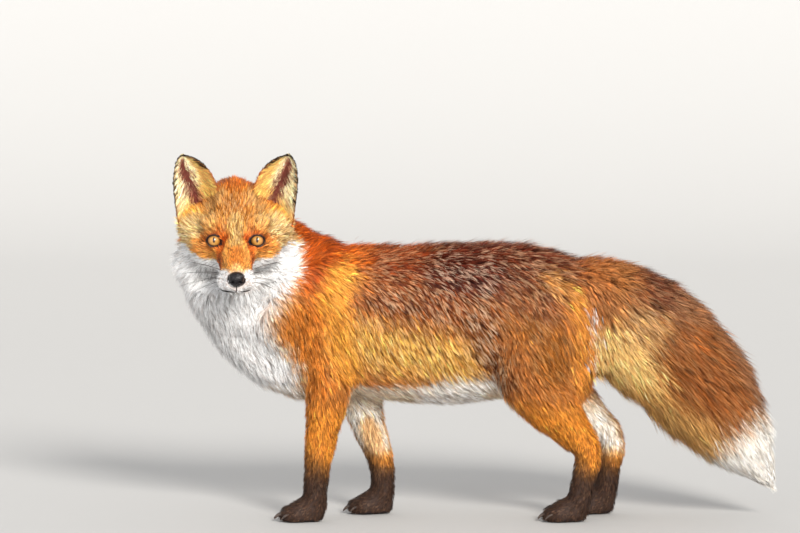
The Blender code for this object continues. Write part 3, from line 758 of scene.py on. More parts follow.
TAIL_STROKES = [  # along from the root to the tip, turn from the upper side (0) to the lower (1)
    ((0.00, 0.0), (0.35, 0.0), 0.45, (104, 52, 30), 1.0, 0.55),
    ((0.35, 0.0), (1.00, 0.0), 0.50, (146, 98, 64), 1.0, 0.30),
    ((0.02, 0.5), (0.20, 0.5), 0.22, (176, 132, 78), 0.9, 0.50),
    ((0.00, 0.8), (0.34, 0.8), 0.26, (248, 202, 124), 1.0, 0.25),
    ((0.36, 0.35), (0.86, 0.42), 0.27, (138, 78, 34), 0.95, 0.30),
    ((0.50, 0.9), (1.05, 0.75), 0.30, (196, 148, 84), 1.0, 0.22),
    ((1.02, 0.2), (1.02, 0.6), 0.12, (160, 114, 76), 0.8, 0.30),
    ((1.24, 0.0), (1.24, 1.0), 0.26, (244, 238, 228), 1.0, 0.15),
]
print("strokes below and behind", len(BIB_STROKES) + len(UNDER_STROKES) + len(TAIL_STROKES))

# %% Laying the strokes
def stroke_weight(places, start, end, width, soft=(0.55, 1.15)):
    """1 near the line between two places, falling to 0 about its width, by the distance to the line."""
    start, end = np.array(start), np.array(end)
    along = end - start
    share = np.clip((places - start) @ along / max(along @ along, 1e-12), 0, 1)
    away = np.linalg.norm(places - start - share[:, None] * along, axis=1)
    return 1 - ramp(away / width, *soft)


def mix(under, over, weight):
    """under + weight (over - under), row by row."""
    return under + weight[:, None] * (over - under)


def brushed(colours, places, strokes, where, soft=(0.55, 1.15)):
    """The strokes mixed over the colours one after another, by strength times mask times weight."""
    for start, end, width, colour, strength, mixing in strokes:
        weight = strength * where * stroke_weight(places, start, end, width, soft)
        colours = mix(colours, (*colour, 255 * mixing), weight)
    return colours


TAIL_END = 1.24  # share of the tail's axis at which its strokes end
TAIL_FROM = (0.478, 0.505)  # behind the breast, where the tail's colours set in
TAIL_AROUND = (0.085, 0.100)  # from the axis, where they end


def tail_turn(places):
    """Share along the tail, turn from its upper side (0) to its lower (1), and a mask of the tail."""
    run = tail_axis[2] - tail_axis[0]
    share = np.minimum((places - tail_axis[0]) @ run / (run @ run), TAIL_END)
    axis = tail_axis[0] + np.clip(share, -0.2, 1.2)[:, None] * run
    out = places - axis
    above = unit(np.cross(np.cross(run, (0, 0, 1)), run))
    turn = np.arccos(np.clip(unit(out) @ above, -1, 1)) / np.pi
    behind = in_body(places)
    mask = ramp(behind[:, 0] + 0.35 * (0.30 - behind[:, 2]), *TAIL_FROM)
    return share, turn, mask * (1 - ramp(np.linalg.norm(out, axis=1) - 0.05 * share, *TAIL_AROUND))

# %% [markdown]
# The legs are painted by their height instead, with a white inner side: a stroke that is wide enough
# for one leg would touch the leg beside it.

# %% The legs' colours
LEG_RISE = (0.135, 0.185)  # between these heights the legs' own colours give way to the body's
LEG_COAT, LEG_WHITE, SOCK = (216, 136, 50, 30), (244, 236, 224, 25), (52, 38, 34, 40)
WRIST_PATCH = (226, 168, 104, 60)  # on the forelegs' white inner side


def leg_painted(colours, places, node):
    """The leg's coat by height: a dark foot, an orange shank, white on the side that faces the other."""
    inward = -1 if node.endswith("right") else 1
    axis = leg_axis(node, 0.10)
    mine = 1 - ramp(places[:, 2], *LEG_RISE)
    mine = mine * (np.abs(places[:, 1] - axis[1]) < 0.05) * (np.abs(places[:, 0] - axis[0]) < 0.13)
    mine = mine * ((places[:, 1] - middle("trunk")[1]) * inward < 0)
    height = places[:, 2]
    colours = mix(colours, LEG_COAT, mine)
    inner = ramp((places[:, 1] - axis[1]) * inward, 0.000, 0.010) * ramp(height, 0.07, 0.10)
    colours = mix(colours, LEG_WHITE, 0.95 * inner * mine)
    if node.startswith("fore"):
        start, end = (axis[0] - 0.004, 0.120), (axis[0] + 0.002, 0.095)
        patch = stroke_weight(places[:, [0, 2]], start, end, 0.016)
        colours = mix(colours, WRIST_PATCH, 0.8 * patch * inner * mine)
    front = ramp(axis[0] - places[:, 0], -0.020, 0.010)
    sock = (1 - ramp(height, 0.045, 0.085 + 0.03 * front)) * mine
    return mix(colours, SOCK, 0.93 * sock)

# %% The colour of any place
BODY_COAT, TAIL_COAT, FACE_COAT = (172.0, 104.0, 52.0, 60.0), (156, 98, 50, 60), (212, 144, 68, 60)
SKULL_MIDDLE, SKULL_SIZE = (-0.010, 0, -0.012), (0.112, 0.104, 0.088)  # of the ball that the face fills
BIB_SHRINKS = (0.035, 0.050)  # back and up: the bib is smaller on the right, away from the turned head


def painted(places):
    """Red, green, blue and mixing, each 0 to 255, at places on skin or coat."""
    side = in_body(places)
    colours = np.broadcast_to(BODY_COAT, (len(places), 4))
    everywhere = np.ones(len(places))
    colours = brushed(colours, side[:, [0, 2]], SIDE_STROKES, everywhere, (0.25, 1.45))
    moved = side[:, [0, 2]] + ramp(side[:, 1], 0.000, 0.050)[:, None] * BIB_SHRINKS
    colours = brushed(colours, moved, BIB_STROKES, everywhere)
    colours = brushed(colours, np.abs(side), UNDER_STROKES, everywhere)
    for node in both_sides("foreleg", "hindleg"):
        colours = leg_painted(colours, places, node)
    share, turn, tail = tail_turn(places)
    colours = mix(colours, TAIL_COAT, tail)
    colours = brushed(colours, np.stack([share, turn], 1), TAIL_STROKES, tail)
    own = in_half_face(places)
    skull = inside_ball(own, SKULL_MIDDLE, SKULL_SIZE, 0.92, 1.06)
    colours = mix(colours, FACE_COAT, skull * ramp(own[:, 2], -0.07, -0.03))
    colours = brushed(colours, own, FACE_STROKES, skull)
    border = np.interp(own[:, 0], *WHITE_LINE.T)
    white = skull * ramp(border - own[:, 2], -0.0015, 0.0025)
    return mix(colours, (*WHITE, 25), white)


def set_colours(obj, colours):
    """The colour "coat" of every corner, from rows of 0 to 255."""
    layer = obj.data.color_attributes.new("coat", "BYTE_COLOR", "POINT")
    shares = np.clip(colours / 255, 0, 1)
    layer.data.foreach_set("color_srgb", np.ascontiguousarray(shares, np.float32).ravel())


skin_places = fetch(skin.data.vertices, "co", 3)
skin_colours = painted(skin_places)
print("mean colour of the skin", np.round(skin_colours.mean(0)))

# %% [markdown]
# The skin under the coat is seen only between hairs, on the lids, the lips and the soles, so its colour
# is the coat's, darkened, with the bare parts laid over it.

# %% Bare parts of the skin
BARE = (30, 22, 24, 255)
UNDER_COAT = (0.82, 0.78, 0.76, 1)  # the skin's colour as shares of the coat's


def lid_distance(places):
    """How far places lie outside the opening of the nearer eye, in multiples of the opening."""
    nearest = np.full(len(places), 9.0)
    for side, eye in EYES.items():
        away = places - eye
        aside, up, out = away @ (side * SIGHT_ASIDE), away @ SIGHT_UP, away @ SIGHT
        reach = np.where(aside > 0, LID_OUTER, LID_INNER)
        inner = np.clip(-aside / LID_INNER, 0, 1)
        up = up + TEAR_DROP * inner ** 2.5
        share = np.sqrt((aside / reach) ** 2 + (up / np.where(up > 0, LID_UPPER, LID_LOWER)) ** 2)
        near = (out > -0.002) & (np.linalg.norm(away, axis=1) < 0.03)
        nearest = np.minimum(nearest, np.where(near, share, 9.0))
    return nearest


def nose_distance(places):
    """How far places lie from the nose pad, in multiples of its size."""
    low, high = (np.array(corner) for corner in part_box("nose_pad"))
    return np.linalg.norm((places - NOSE) / ((high - low) / 2), axis=1)


lid_skin = 1 - ramp(lid_distance(skin_places), 1.18, 1.38)
nose_skin = 1 - ramp(nose_distance(skin_places), 1.10, 1.22)
soles = 1 - ramp(skin_places[:, 2], 0.003, 0.006)
bare = np.maximum(np.maximum(lid_skin, nose_skin), soles)
shade = mix(skin_colours * UNDER_COAT, BARE, bare)
print("bare corners", int((bare > 0.5).sum()))

# %% [markdown]
# A few materials serve the whole animal. Their maths is written as Python expressions on sockets.

# %% A small language for materials
class Value:
    """A socket of a material, with arithmetic that adds Math or Vector Math nodes."""

    def __init__(self, paint, socket):
        self.paint, self.socket = paint, socket

    def _maths(self, operation, *others):
        """The operation on this value and others, as vectors if any of them is one."""
        vector = any(isinstance(o, Value) and o.socket.type == "VECTOR" for o in (self, *others))
        kind = "ShaderNodeVectorMath" if vector else "ShaderNodeMath"
        return self.paint.node(kind, {"operation": operation}, self, *others)

    def __add__(self, other):
        return self._maths("ADD", other)

    def __sub__(self, other):
        return self._maths("SUBTRACT", other)

    def __mul__(self, other):
        return self._maths("MULTIPLY", other)

    def __truediv__(self, other):
        return self._maths("DIVIDE", other)

    def __radd__(self, other):
        return self.paint.value(other)._maths("ADD", self)

    def __rsub__(self, other):
        return self.paint.value(other)._maths("SUBTRACT", self)

    def __rmul__(self, other):
        return self.paint.value(other)._maths("MULTIPLY", self)

    def __pow__(self, other):
        return self._maths("POWER", other)


class Paint:
    """A material being made: nodes are added by type, with settings and socket values."""

    def __init__(self, material):
        material.use_nodes = True
        self.material, self.tree = material, material.node_tree
        self.shader = self.tree.nodes["Principled BSDF"]

    def node(self, kind, settings=None, *inputs, out=0, at=None, **named):
        """Adds a node; inputs go to its sockets in order, those of at by number, named ones by name."""
        node = self.tree.nodes.new(kind)
        for name, value in (settings or {}).items():
            setattr(node, name, value)
        for key, value in [*enumerate(inputs), *(at or {}).items(), *named.items()]:
            self.put(node.inputs[key if isinstance(key, int) else key.replace("_", " ")], value)
        return Value(self, node.outputs[out])

    def put(self, socket, value):
        """Links a value to a socket, or sets the socket's own number, vector or colour."""
        if isinstance(value, Value):
            self.tree.links.new(value.socket, socket)
        elif socket.type == "RGBA" and len(np.atleast_1d(value)) == 3:
            socket.default_value = (*value, 1)
        elif socket.type in ("VECTOR", "RGBA") and np.isscalar(value):
            socket.default_value = (value,) * len(socket.default_value)
        else:
            socket.default_value = value

    def value(self, number):
        """A plain number as a socket."""
        made = self.node("ShaderNodeValue")
        made.socket.default_value = number
        return made

    def places(self):
        """The object's own coordinates in metres."""
        return self.node("ShaderNodeTexCoord", out=3)

    def attribute(self, name, out=0):
        """A colour (out 0) or a vector (out 1) stored on the mesh."""
        return self.node("ShaderNodeAttribute", {"attribute_name": name}, out=out)

    def noise(self, size, detail=2, where=None, rough=0.5, out=0):
        """Noise with features about as large as size in metres, from 0 to 1."""
        return self.node("ShaderNodeTexNoise", None, Vector=where or self.places(), Scale=1 / size,
                         Detail=detail, Roughness=rough, out=out)

    def parts(self, vector):
        """The three numbers of a vector."""
        first = self.node("ShaderNodeSeparateXYZ", None, vector)
        return [Value(self, socket) for socket in first.socket.node.outputs]

    def ramp(self, value, low, high, bottom=0.0, top=1.0):
        """Smoothly from bottom to top as the value goes from low to high."""
        return self.node("ShaderNodeMapRange", {"interpolation_type": "SMOOTHSTEP"},
                         value, low, high, bottom, top)

    def blend(self, share, under, over, how="MIX"):
        """under + share (over - under) for colours, or another way of blending."""
        return self.node("ShaderNodeMix", {"data_type": "RGBA", "blend_type": how},
                         at={0: share, 6: under, 7: over}, out=2)

    def bump(self, height, distance, strength=1.0, normal=None):
        """A normal tilted by the height's slope."""
        named = {"Height": height, "Distance": distance, "Strength": strength}
        return self.node("ShaderNodeBump", None, **named, **({"Normal": normal} if normal else {}))

    def finish(self, colour, roughness, **others):
        """Puts colour, roughness and the rest on the shader and gives back the material."""
        self.put(self.shader.inputs["Base Color"], colour)
        self.put(self.shader.inputs["Roughness"], roughness)
        for name, value in others.items():
            self.put(self.shader.inputs[name.replace("_", " ")], value)
        return self.material


def new_paint(name):
    """A new material ready for nodes."""
    return Paint(bpy.data.materials.new(name))

# %% Finishes of skin and hair
def linear(colour):
    """Red, green and blue from 0 to 255 as the linear values that shaders use."""
    c = np.array(colour, float) / 255
    return tuple(np.where(c > 0.04045, ((c + 0.055) / 1.055) ** 2.4, c / 12.92))


def skin_paint(material):
    """Bare skin and short down: the painted colour, mottled, with the bump of lying hairs."""
    paint = Paint(material)
    mottle = paint.ramp(paint.noise(0.004, 3), 0.3, 0.7, 0.82, 1.1)
    down = paint.noise(0.0011)
    return paint.finish(paint.blend(1.0, paint.attribute("coat"), mottle, "MULTIPLY"), 0.7,
                        Normal=paint.bump(down, 0.0006), Specular_IOR_Level=0.25)


def coat_paint(name):
    """Hair: the colour stored on each strand, with a soft gloss and a fine unevenness along it."""
    paint = new_paint(name)
    uneven = paint.ramp(paint.noise(0.0025), 0.25, 0.75, 0.90, 1.10)
    return paint.finish(paint.blend(1.0, paint.attribute("coat"), uneven, "MULTIPLY"), 0.5,
                        Specular_IOR_Level=0.12)


def mottled(name, size, dark, light, roughness, grain=None, **others):
    """Two tones that run into each other in spots of a size; grain is the size and height of a bump."""
    paint = new_paint(name)
    if grain:
        others["Normal"] = paint.bump(paint.noise(grain[0]), grain[1])
    tone = paint.ramp(paint.noise(size), 0.3, 0.7)
    return paint.finish(paint.blend(tone, linear(dark), linear(light)), roughness, **others)


skin_paint(skin_material)
skin_paint(ear_material)
hair = coat_paint("fox_hair")
print("materials", skin_material.name, ear_material.name, hair.name)

# %% [markdown]
# A winter coat could be particle hair, but that is lost when a model is passed on, so the hairs are
# mesh. They grow in locks. Each lock has a place on the skin, drawn at random in proportion to the
# area and to how fine the coat is there, and a handful of hairs whose tips draw together. A hair is a
# narrow blade in two steps: it rises quickly out of the skin and then lies over along the lie of the
# coat.

# %% Where the locks grow
CHANCE = np.random.default_rng(20)
FACE_LOCKS, HEAD_LOCKS, LEG_LOCKS, BODY_LOCKS = 0.42, 0.25, 0.17, 0.140  # locks per square millimetre
HEAD_MIDDLE, HEAD_SIZE = (-0.03, 0, -0.01), (0.10, 0.11, 0.10)  # of the ball where they are finer
LID_BALD, NOSE_BALD, SOLE_BALD = 1.22, 1.12, 0.0035  # no hair nearer to lids, nose and ground


def triangles(mesh):
    """Corner numbers, areas, and the slot of the material of a mesh's triangles."""
    mesh.calc_loop_triangles()
    corners = fetch(mesh.loop_triangles, "vertices", 3, np.int32)
    slot = numbers(mesh.loop_triangles, "material_index")
    places = fetch(mesh.vertices, "co", 3)[corners]
    area = np.linalg.norm(np.cross(places[:, 1] - places[:, 0], places[:, 2] - places[:, 0]), axis=1) / 2
    return corners, area, slot


def fineness(places):
    """Locks per square millimetre: most on the face, fewest on the body, none on bare skin."""
    own = in_face(places)
    ahead = ramp(own[:, 0], -0.07, -0.02) * ramp(own[:, 2], -0.10, -0.07)
    skull = inside_ball(own, HEAD_MIDDLE, HEAD_SIZE, 0.9, 1.1)
    locks = BODY_LOCKS + (LEG_LOCKS - BODY_LOCKS) * (1 - ramp(places[:, 2], 0.12, 0.17))
    locks = locks + (HEAD_LOCKS - locks) * skull
    locks = locks + (FACE_LOCKS - locks) * ahead * skull
    bare_face = (lid_distance(places) < LID_BALD) | (nose_distance(places) < NOSE_BALD)
    return np.where(bare_face | (places[:, 2] < SOLE_BALD), 0, locks)


def lock_places(mesh):
    """Places, normals and local fineness of the locks, by chance over the triangles."""
    corners, area, slot = triangles(mesh)
    where = fetch(mesh.vertices, "co", 3)[corners]
    locks = fineness(where.mean(1)) * (slot == 0)
    share = area * 1e6 * locks
    count = int(share.sum())
    chosen = np.searchsorted(np.cumsum(share), CHANCE.random(count) * share.sum())
    pick = CHANCE.random((count, 2))
    fold = pick.sum(1) > 1
    pick[fold] = 1 - pick[fold]
    weight = np.stack([1 - pick.sum(1), pick[:, 0], pick[:, 1]], 1)[..., None]
    normals = fetch(mesh.vertex_normals, "vector", 3)[corners[chosen]]
    return (where[chosen] * weight).sum(1), unit((normals * weight).sum(1)), locks[chosen]


roots, outward, fine = lock_places(skin.data)
print("locks on the skin", len(roots), "finest", round(float(fine.max()), 2), "per square millimetre")

# %% [markdown]
# Each piece of the coat spans the whole body, so that it gets as many texels as the others. Its map is
# an unwrap of the body's shape bone by bone: round a bone goes across a rectangle, and along it goes up.

# %% The map of the coat
HEAD_BACK = face((-0.085, 0, -0.02))
FORE_TOP, HIND_TOP = 0.150, 0.170  # heights at which the legs' bones start
BONES = [  # from, to, size, rectangle on the map
    (HEAD_BACK, face((0.055, 0, -0.020)), 0.055, (0.00, 0.00, 0.50, 0.46)),
    (body((0.085, 0.0, 0.285)), HEAD_BACK, 0.075, (0.00, 0.48, 0.50, 0.66)),
    (body((0.10, 0.0, 0.265)), body((0.47, 0.0, 0.285)), 0.090, (0.52, 0.00, 1.00, 0.42)),
    (tail_axis[0], tail_axis[2], 0.060, (0.52, 0.44, 1.00, 0.72)),
    (leg_axis("foreleg_left", FORE_TOP), middle("forepaw_left"), 0.022, (0.00, 0.76, 0.24, 1.00)),
    (leg_axis("foreleg_right", FORE_TOP), middle("forepaw_right"), 0.022, (0.26, 0.76, 0.50, 1.00)),
    (leg_axis("hindleg_left", HIND_TOP), middle("hindpaw_left"), 0.026, (0.52, 0.76, 0.74, 1.00)),
    (leg_axis("hindleg_right", HIND_TOP), middle("hindpaw_right"), 0.026, (0.76, 0.76, 1.00, 1.00)),
]
EAR_MAPS = {1: (0.02, 0.67, 0.24, 0.75), -1: (0.26, 0.67, 0.48, 0.75)}
PATCH = 0.003  # breadth of a lock's patch on the map


def on_map(places):
    """The nearest bone for its size; across goes by the turn around it, up by the share along it.

    Past its ends, where the share stands still, a quarter of exp(-2 r) spreads the places out.
    """
    best = np.full(len(places), np.inf)
    mapped = np.zeros((len(places), 2))
    for start, end, size, (left, low, right, top) in BONES:
        run = end - start
        share = (places - start) @ run / (run @ run)
        out = places - start - np.clip(share, 0, 1)[:, None] * run
        away = np.linalg.norm(out, axis=1) / size
        flat = places - start - share[:, None] * run
        one = unit(np.cross(run, (0.1, 0.3, 1.0)))
        two = unit(np.cross(run, one))
        turn = 0.5 + np.arctan2(flat @ one, flat @ two) / (2 * np.pi)
        around = np.linalg.norm(flat, axis=1) / size
        beyond = share + np.where(share > 0.5, 1, -1) * 0.25 * np.exp(-around * 2)
        up = np.clip((beyond + 0.45) / 1.9, 0, 1)
        near = away < best
        best = np.where(near, away, best)
        here = np.stack([left + turn * (right - left - PATCH), low + up * (top - low - PATCH)], 1)
        mapped = np.where(near[:, None], here, mapped)
    return mapped


coat_map = on_map(roots)
print("map from", np.round(coat_map.min(0), 3), "to", np.round(coat_map.max(0), 3))

# %% [markdown]
# The hairs of all locks are worked out at once. The thickness of the coat is how high the tips stand,
# and the way that they reach along the skin follows from the length by Pythagoras.

# %% Hairs from locks
STRANDS = 5
LONGEST = 1.4  # no hair is longer than this many times its neighbours' mean
LEAST_REACH = 0.30  # of its length, how far a hair at least lies along the skin
BEND_ALONG, BEND_UP = 0.45, 0.72  # where a hair bends, as shares of its reach and of its rise
ROOT_DEEP = 0.0006  # hairs start this far under the skin
ROOT_WIDE = 0.8  # width at the root as a share of the width at the bend


def hairs(roots, outward, way, length, height, colour, spread, width, mapped, tips=0.60, unruly=0.12):
    """Blades of five corners: two at the root, two at the bend, one at the tip.

    The tip stands at root + way sqrt(L^2 - H^2) + normal H, drawn towards the lock's own tip; the bend
    lies at BEND_ALONG of that way and BEND_UP of that height. At the tail's end, where the skin faces
    the lie, the hairs stand out along the lie itself.
    """
    count = len(roots)
    pick = CHANCE.normal(0, 1, (count, STRANDS, 3))
    across = np.cross(way, outward)
    tilt = CHANCE.normal(0, unruly, (count, 2))
    facing = ramp((way * outward).sum(1, keepdims=True), 0.35, 0.9)
    facing = facing * ramp(in_body(roots)[:, :1], 0.50, 0.55)
    stand = unit(outward + facing * (way - outward))
    way = unit(way + tilt[:, :1] * across)
    way = unit(way - (way * outward).sum(1, keepdims=True) * outward)
    across = unit(np.cross(way, outward))
    offset = spread[:, None, None] * (pick[..., :1] * across[:, None] + pick[..., 1:2] * way[:, None])
    size = np.exp(CHANCE.normal(0, 0.14, (count, 1)) + CHANCE.normal(0, 0.12, (count, STRANDS)))
    size = np.minimum(size, LONGEST)
    rise = height[:, None] * size * np.exp(CHANCE.normal(0, 0.16, (count, STRANDS)) + 0.10 * tilt[:, 1:])
    long = length[:, None] * size * (1 - 0.25 * facing)
    rise = np.maximum(rise, 0.95 * facing * long)
    reach = np.sqrt(np.maximum(long ** 2 - rise ** 2, ((LEAST_REACH - 0.22 * facing) * long) ** 2))
    root = roots[:, None] + offset - ROOT_DEEP * outward[:, None]
    fan = CHANCE.normal(0, 0.5 * unruly, (count, STRANDS, 1)) * reach[..., None] * across[:, None]
    tip = root - tips * offset + reach[..., None] * way[:, None] + rise[..., None] * stand[:, None] + fan
    bend = (root + (BEND_ALONG * reach)[..., None] * way[:, None]
            + (BEND_UP * rise)[..., None] * stand[:, None] - 0.25 * tips * offset + 0.3 * fan)
    roll = CHANCE.uniform(-0.7, 0.7, (count, STRANDS, 1))
    half = width[:, None, None] / 2 * (np.cos(roll) * across[:, None] + np.sin(roll) * outward[:, None])
    blades = np.stack([root - ROOT_WIDE * half, root + ROOT_WIDE * half, bend + half, bend - half, tip], 2)
    blades[..., 2] = np.maximum(blades[..., 2], LEAST_SOLE)
    shades = hair_shades(colour, count)
    from_left = np.arange(STRANDS)[None, :, None, None] / STRANDS
    corner = np.array([(0, 0), (0.8, 0), (0.8, 0.5), (0, 0.5), (0.4, 1)])
    spot = mapped[:, None, None, :] + PATCH * (corner * (1 / STRANDS, 1) + from_left * (1, 0))
    own = unit(np.cos(roll) * outward[:, None] - np.sin(roll) * across[:, None])
    soft = unit(own + 1.6 * outward[:, None] + 0.3 * way[:, None])
    normals = np.repeat(soft.reshape(-1, 1, 3), 5, 1)
    return blades.reshape(-1, 5, 3), shades.reshape(-1, 5, 4), spot.reshape(-1, 5, 2), normals

# %% [markdown]
# A grizzled coat isn't one colour: pale-tipped and dark hairs stand among the others. Most of the draw
# that decides which is which is shared by a lock, so that the mixing shows as flecks and not as dust.

# %% The colours along a hair
PALE_SHARE, DARK_SHARE = 0.38, 0.60  # draws below the first are pale, above the second dark
PALE, FROSTED = (250.0, 216.0, 172.0), 252.0  # tips of hairs on coloured and on white coat
DEEP = (0.42, 0.26, 0.20)  # dark hairs as shares of the coat's own colour
ROOT_DARK = (0.86, 0.80, 0.77)


def hair_shades(colour, count):
    """Colours of the five corners: darker at the root, and where hairs mix, some pale and some dark."""
    mixing = colour[:, None, 3] / 255
    draw = CHANCE.random((count, STRANDS)) * 0.25 + CHANCE.random((count, 1)) * 0.75
    pale = mixing * ramp(PALE_SHARE - draw, 0, 0.08)
    dark = mixing * ramp(draw - DARK_SHARE, 0, 0.08)
    tone = np.exp(CHANCE.normal(0, 0.05, (count, STRANDS)) + CHANCE.normal(0, 0.17, (count, 1)))
    base = colour[:, None, :3] * tone[..., None]
    cream = np.where(base[..., 2:] > 120, FROSTED, PALE)
    cream = cream + ramp(mixing, 0.75, 0.92)[..., None] * (246 - cream) * (0.5, 0.35, 0.35)
    light = base + 0.84 * (cream - base)
    deep = base * DEEP
    ends = base + pale[..., None] * (light - base) + dark[..., None] * (deep - base)
    bends = base + 0.6 * pale[..., None] * (light - base) + 0.8 * dark[..., None] * (deep - base)
    root = base * ROOT_DARK ** np.interp(base.min(-1, keepdims=True), (40, 220), (1.3, 0.5))
    shades = np.stack([root, root, bends, bends, ends], 2)
    return np.concatenate([shades, np.full((*shades.shape[:3], 1), 255.0)], -1)


def skin_hairs():
    """The hairs of all locks on the skin, each lock painted as the place that its tips reach."""
    way, length, height = lie_at(roots)
    reach = np.sqrt(length ** 2 - height ** 2)
    seen = roots + 0.85 * (reach[:, None] * way + height[:, None] * outward)
    astray = length * np.interp(length, (0.008, 0.018), (0.10, 0.30))
    colour = painted(seen + CHANCE.normal(0, 1, roots.shape) * astray[:, None])
    spread = 0.30 / np.sqrt(fine) / 1000
    width = np.interp(length * 1000, (3, 8, 18, 32), (0.38, 0.48, 0.62, 0.78)) / 1000
    return hairs(roots, outward, way, length, height, colour, spread, width, coat_map)


body_coat = skin_hairs()
print("hairs of the body", len(body_coat[0]))

# %% [markdown]
# The ears have hair of their own kinds. Inside, cream hairs lean from both edges over a dark maroon
# streak that shows the skin; outside is a short black velvet, which also draws the thin dark rim.

# %% Hair on the ears
EAR_INSIDE, EAR_BACK = 2300, 1700  # locks on each ear
STREAK = ((0.50, -0.04), (0.74, 0.60))  # the dark streak, as shares across and along the leaf
EAR_CREAM, EAR_GOLD, EAR_FOOT = (252.0, 232.0, 178.0, 36.0), (255, 196, 112, 20), (252, 192, 100, 30)
EAR_MAROON, EAR_RIM = (112, 54, 46, 110), (32, 24, 24, 20)
EAR_RUST, EAR_BLACK = (190.0, 104.0, 40.0, 30.0), (36, 28, 28, 30)  # behind the ear, at its foot and above


def ear_colours(across, t, inside):
    """Cream inside, gold by the inner edge, maroon along the streak, black at the rim and behind."""
    colours = np.broadcast_to(EAR_CREAM, (len(t), 4))
    gold = (1 - ramp(across, 0.18, 0.42)) * (1 - ramp(t, 0.55, 0.95))
    colours = mix(colours, EAR_GOLD, gold)
    low = 1 - ramp(t, 0.00, 0.16)
    colours = mix(colours, EAR_FOOT, 0.8 * low)
    streak = stroke_weight(np.stack([across, t], 1), *STREAK, 0.175)
    colours = mix(colours, EAR_MAROON, 0.95 * streak)
    rim = np.maximum((1 - ramp(across, 0.04, 0.075)) * ramp(t, 0.36, 0.50),
                     ramp(across, 0.965, 0.985) * ramp(t, 0.05, 0.20))
    rim = np.maximum(rim, ramp(t, 0.90, 0.94))
    black = np.where(inside, rim, ramp(t - 0.32 * (1 - ramp(across, 0.05, 0.22)), 0.02, 0.22))
    behind = mix(np.broadcast_to(EAR_RUST, (len(t), 4)), EAR_BLACK, black)
    return np.where(inside[:, None], mix(colours, EAR_RIM, rim), behind)


def ear_hairs(side):
    """Locks at random shares across and along the leaf; those inside lean from both edges inward."""
    count = EAR_INSIDE + EAR_BACK
    inside = np.arange(count) < EAR_INSIDE
    across, t = CHANCE.uniform(0.012, 0.988, count), CHANCE.uniform(-0.10, 0.965, count)
    keep = CHANCE.random(count) < 1 - 0.75 * np.clip(t, 0, 1)
    across, t, inside = across[keep], t[keep], inside[keep]
    here, normal, upward = ear_frame(across, t, side)
    outward = normal * np.where(inside, 1, -1)[:, None]
    sideways = unit(np.cross(upward, normal)) * side
    lean = np.where(inside, np.clip((0.56 - across) * 2.2, -0.7, 1.0), 0.0)
    way = unit(upward + lean[:, None] * sideways)
    streak = stroke_weight(np.stack([across, t], 1), *STREAK, 0.08)
    length = np.where(inside, 12 - 7.5 * np.clip(t, 0, 1) - 4.2 * streak, 5.0 - 2.6 * t) / 1000
    height = np.where(inside, (0.24 - 0.08 * np.clip(t, 0, 1)) * length * (1 - 0.45 * streak), 0.0009)
    left, low, right, top = EAR_MAPS[side]
    half = (right - left) / 2 - PATCH
    mapped = np.stack([left + np.where(inside, 0, half + PATCH) + across * half,
                       low + np.clip(t + 0.1, 0, 1) * (top - low - PATCH)], 1)
    at = here + outward * (EAR_WALL * 0.4)
    astray = CHANCE.normal(0, 0.065, len(t)) * (1 - np.abs(2 * across - 1))
    astray = astray + 0.01 * CHANCE.normal(0, 1, len(t))
    colours = ear_colours(across + astray, t, inside)
    return hairs(at, outward, way, length, height, colours, np.full(len(t), 0.0007),
                 np.full(len(t), 0.00045), mapped, tips=0.3, unruly=0.14)


ear_coats = [ear_hairs(side) for side in EYES]
print("hairs of the ears", sum(len(coat[0]) for coat in ear_coats))

# %% [markdown]
# Between their hairs the ears' own skin shows, so it is painted like them, a little darker. The Boolean
# has made new corners there: each asks the leaf for the nearest place.

# %% The skin of the ears
EAR_UNDER_COAT = (0.84, 0.74, 0.70, 1)


def skin_of_ears(colours):
    """Each corner of the ears' skin takes the colour of the nearest place on the leaf, darkened."""
    faces = skin.data.polygons
    slot_there = np.repeat(numbers(faces, "material_index"), numbers(faces, "loop_total"))
    corners = np.unique(numbers(skin.data.loops, "vertex_index")[slot_there == 1])
    places = skin_places[corners]
    normals = fetch(skin.data.vertex_normals, "vector", 3)[corners]
    nearest = np.full(len(corners), np.inf)
    t, across = np.meshgrid(np.linspace(EAR_ROOT, 1, 40), np.linspace(0, 1, 24))
    t, across = t.ravel(), across.ravel()
    for side in EYES:
        here, out, _ = ear_frame(across, t, side)
        apart = np.linalg.norm(places[:, None] - here[None], axis=2)
        best = apart.argmin(1)
        near = apart.min(1) < nearest
        nearest = np.minimum(apart.min(1), nearest)
        inside = (normals * out[best]).sum(1) > 0
        own = ear_colours(across[best], t[best], inside) * EAR_UNDER_COAT
        colours[corners[near]] = own[near]
    return colours


set_colours(skin, skin_of_ears(shade))
print("skin painted", len(skin_places), "corners")

# %% [markdown]
# A coat of one and a half million triangles is too much for one mesh. Parted by regions it would show
# seams, so every eighth lock goes to the same piece, and each piece is a thin coat of the whole animal.

# %% The coat in interleaved pieces
COAT_PIECES = 8


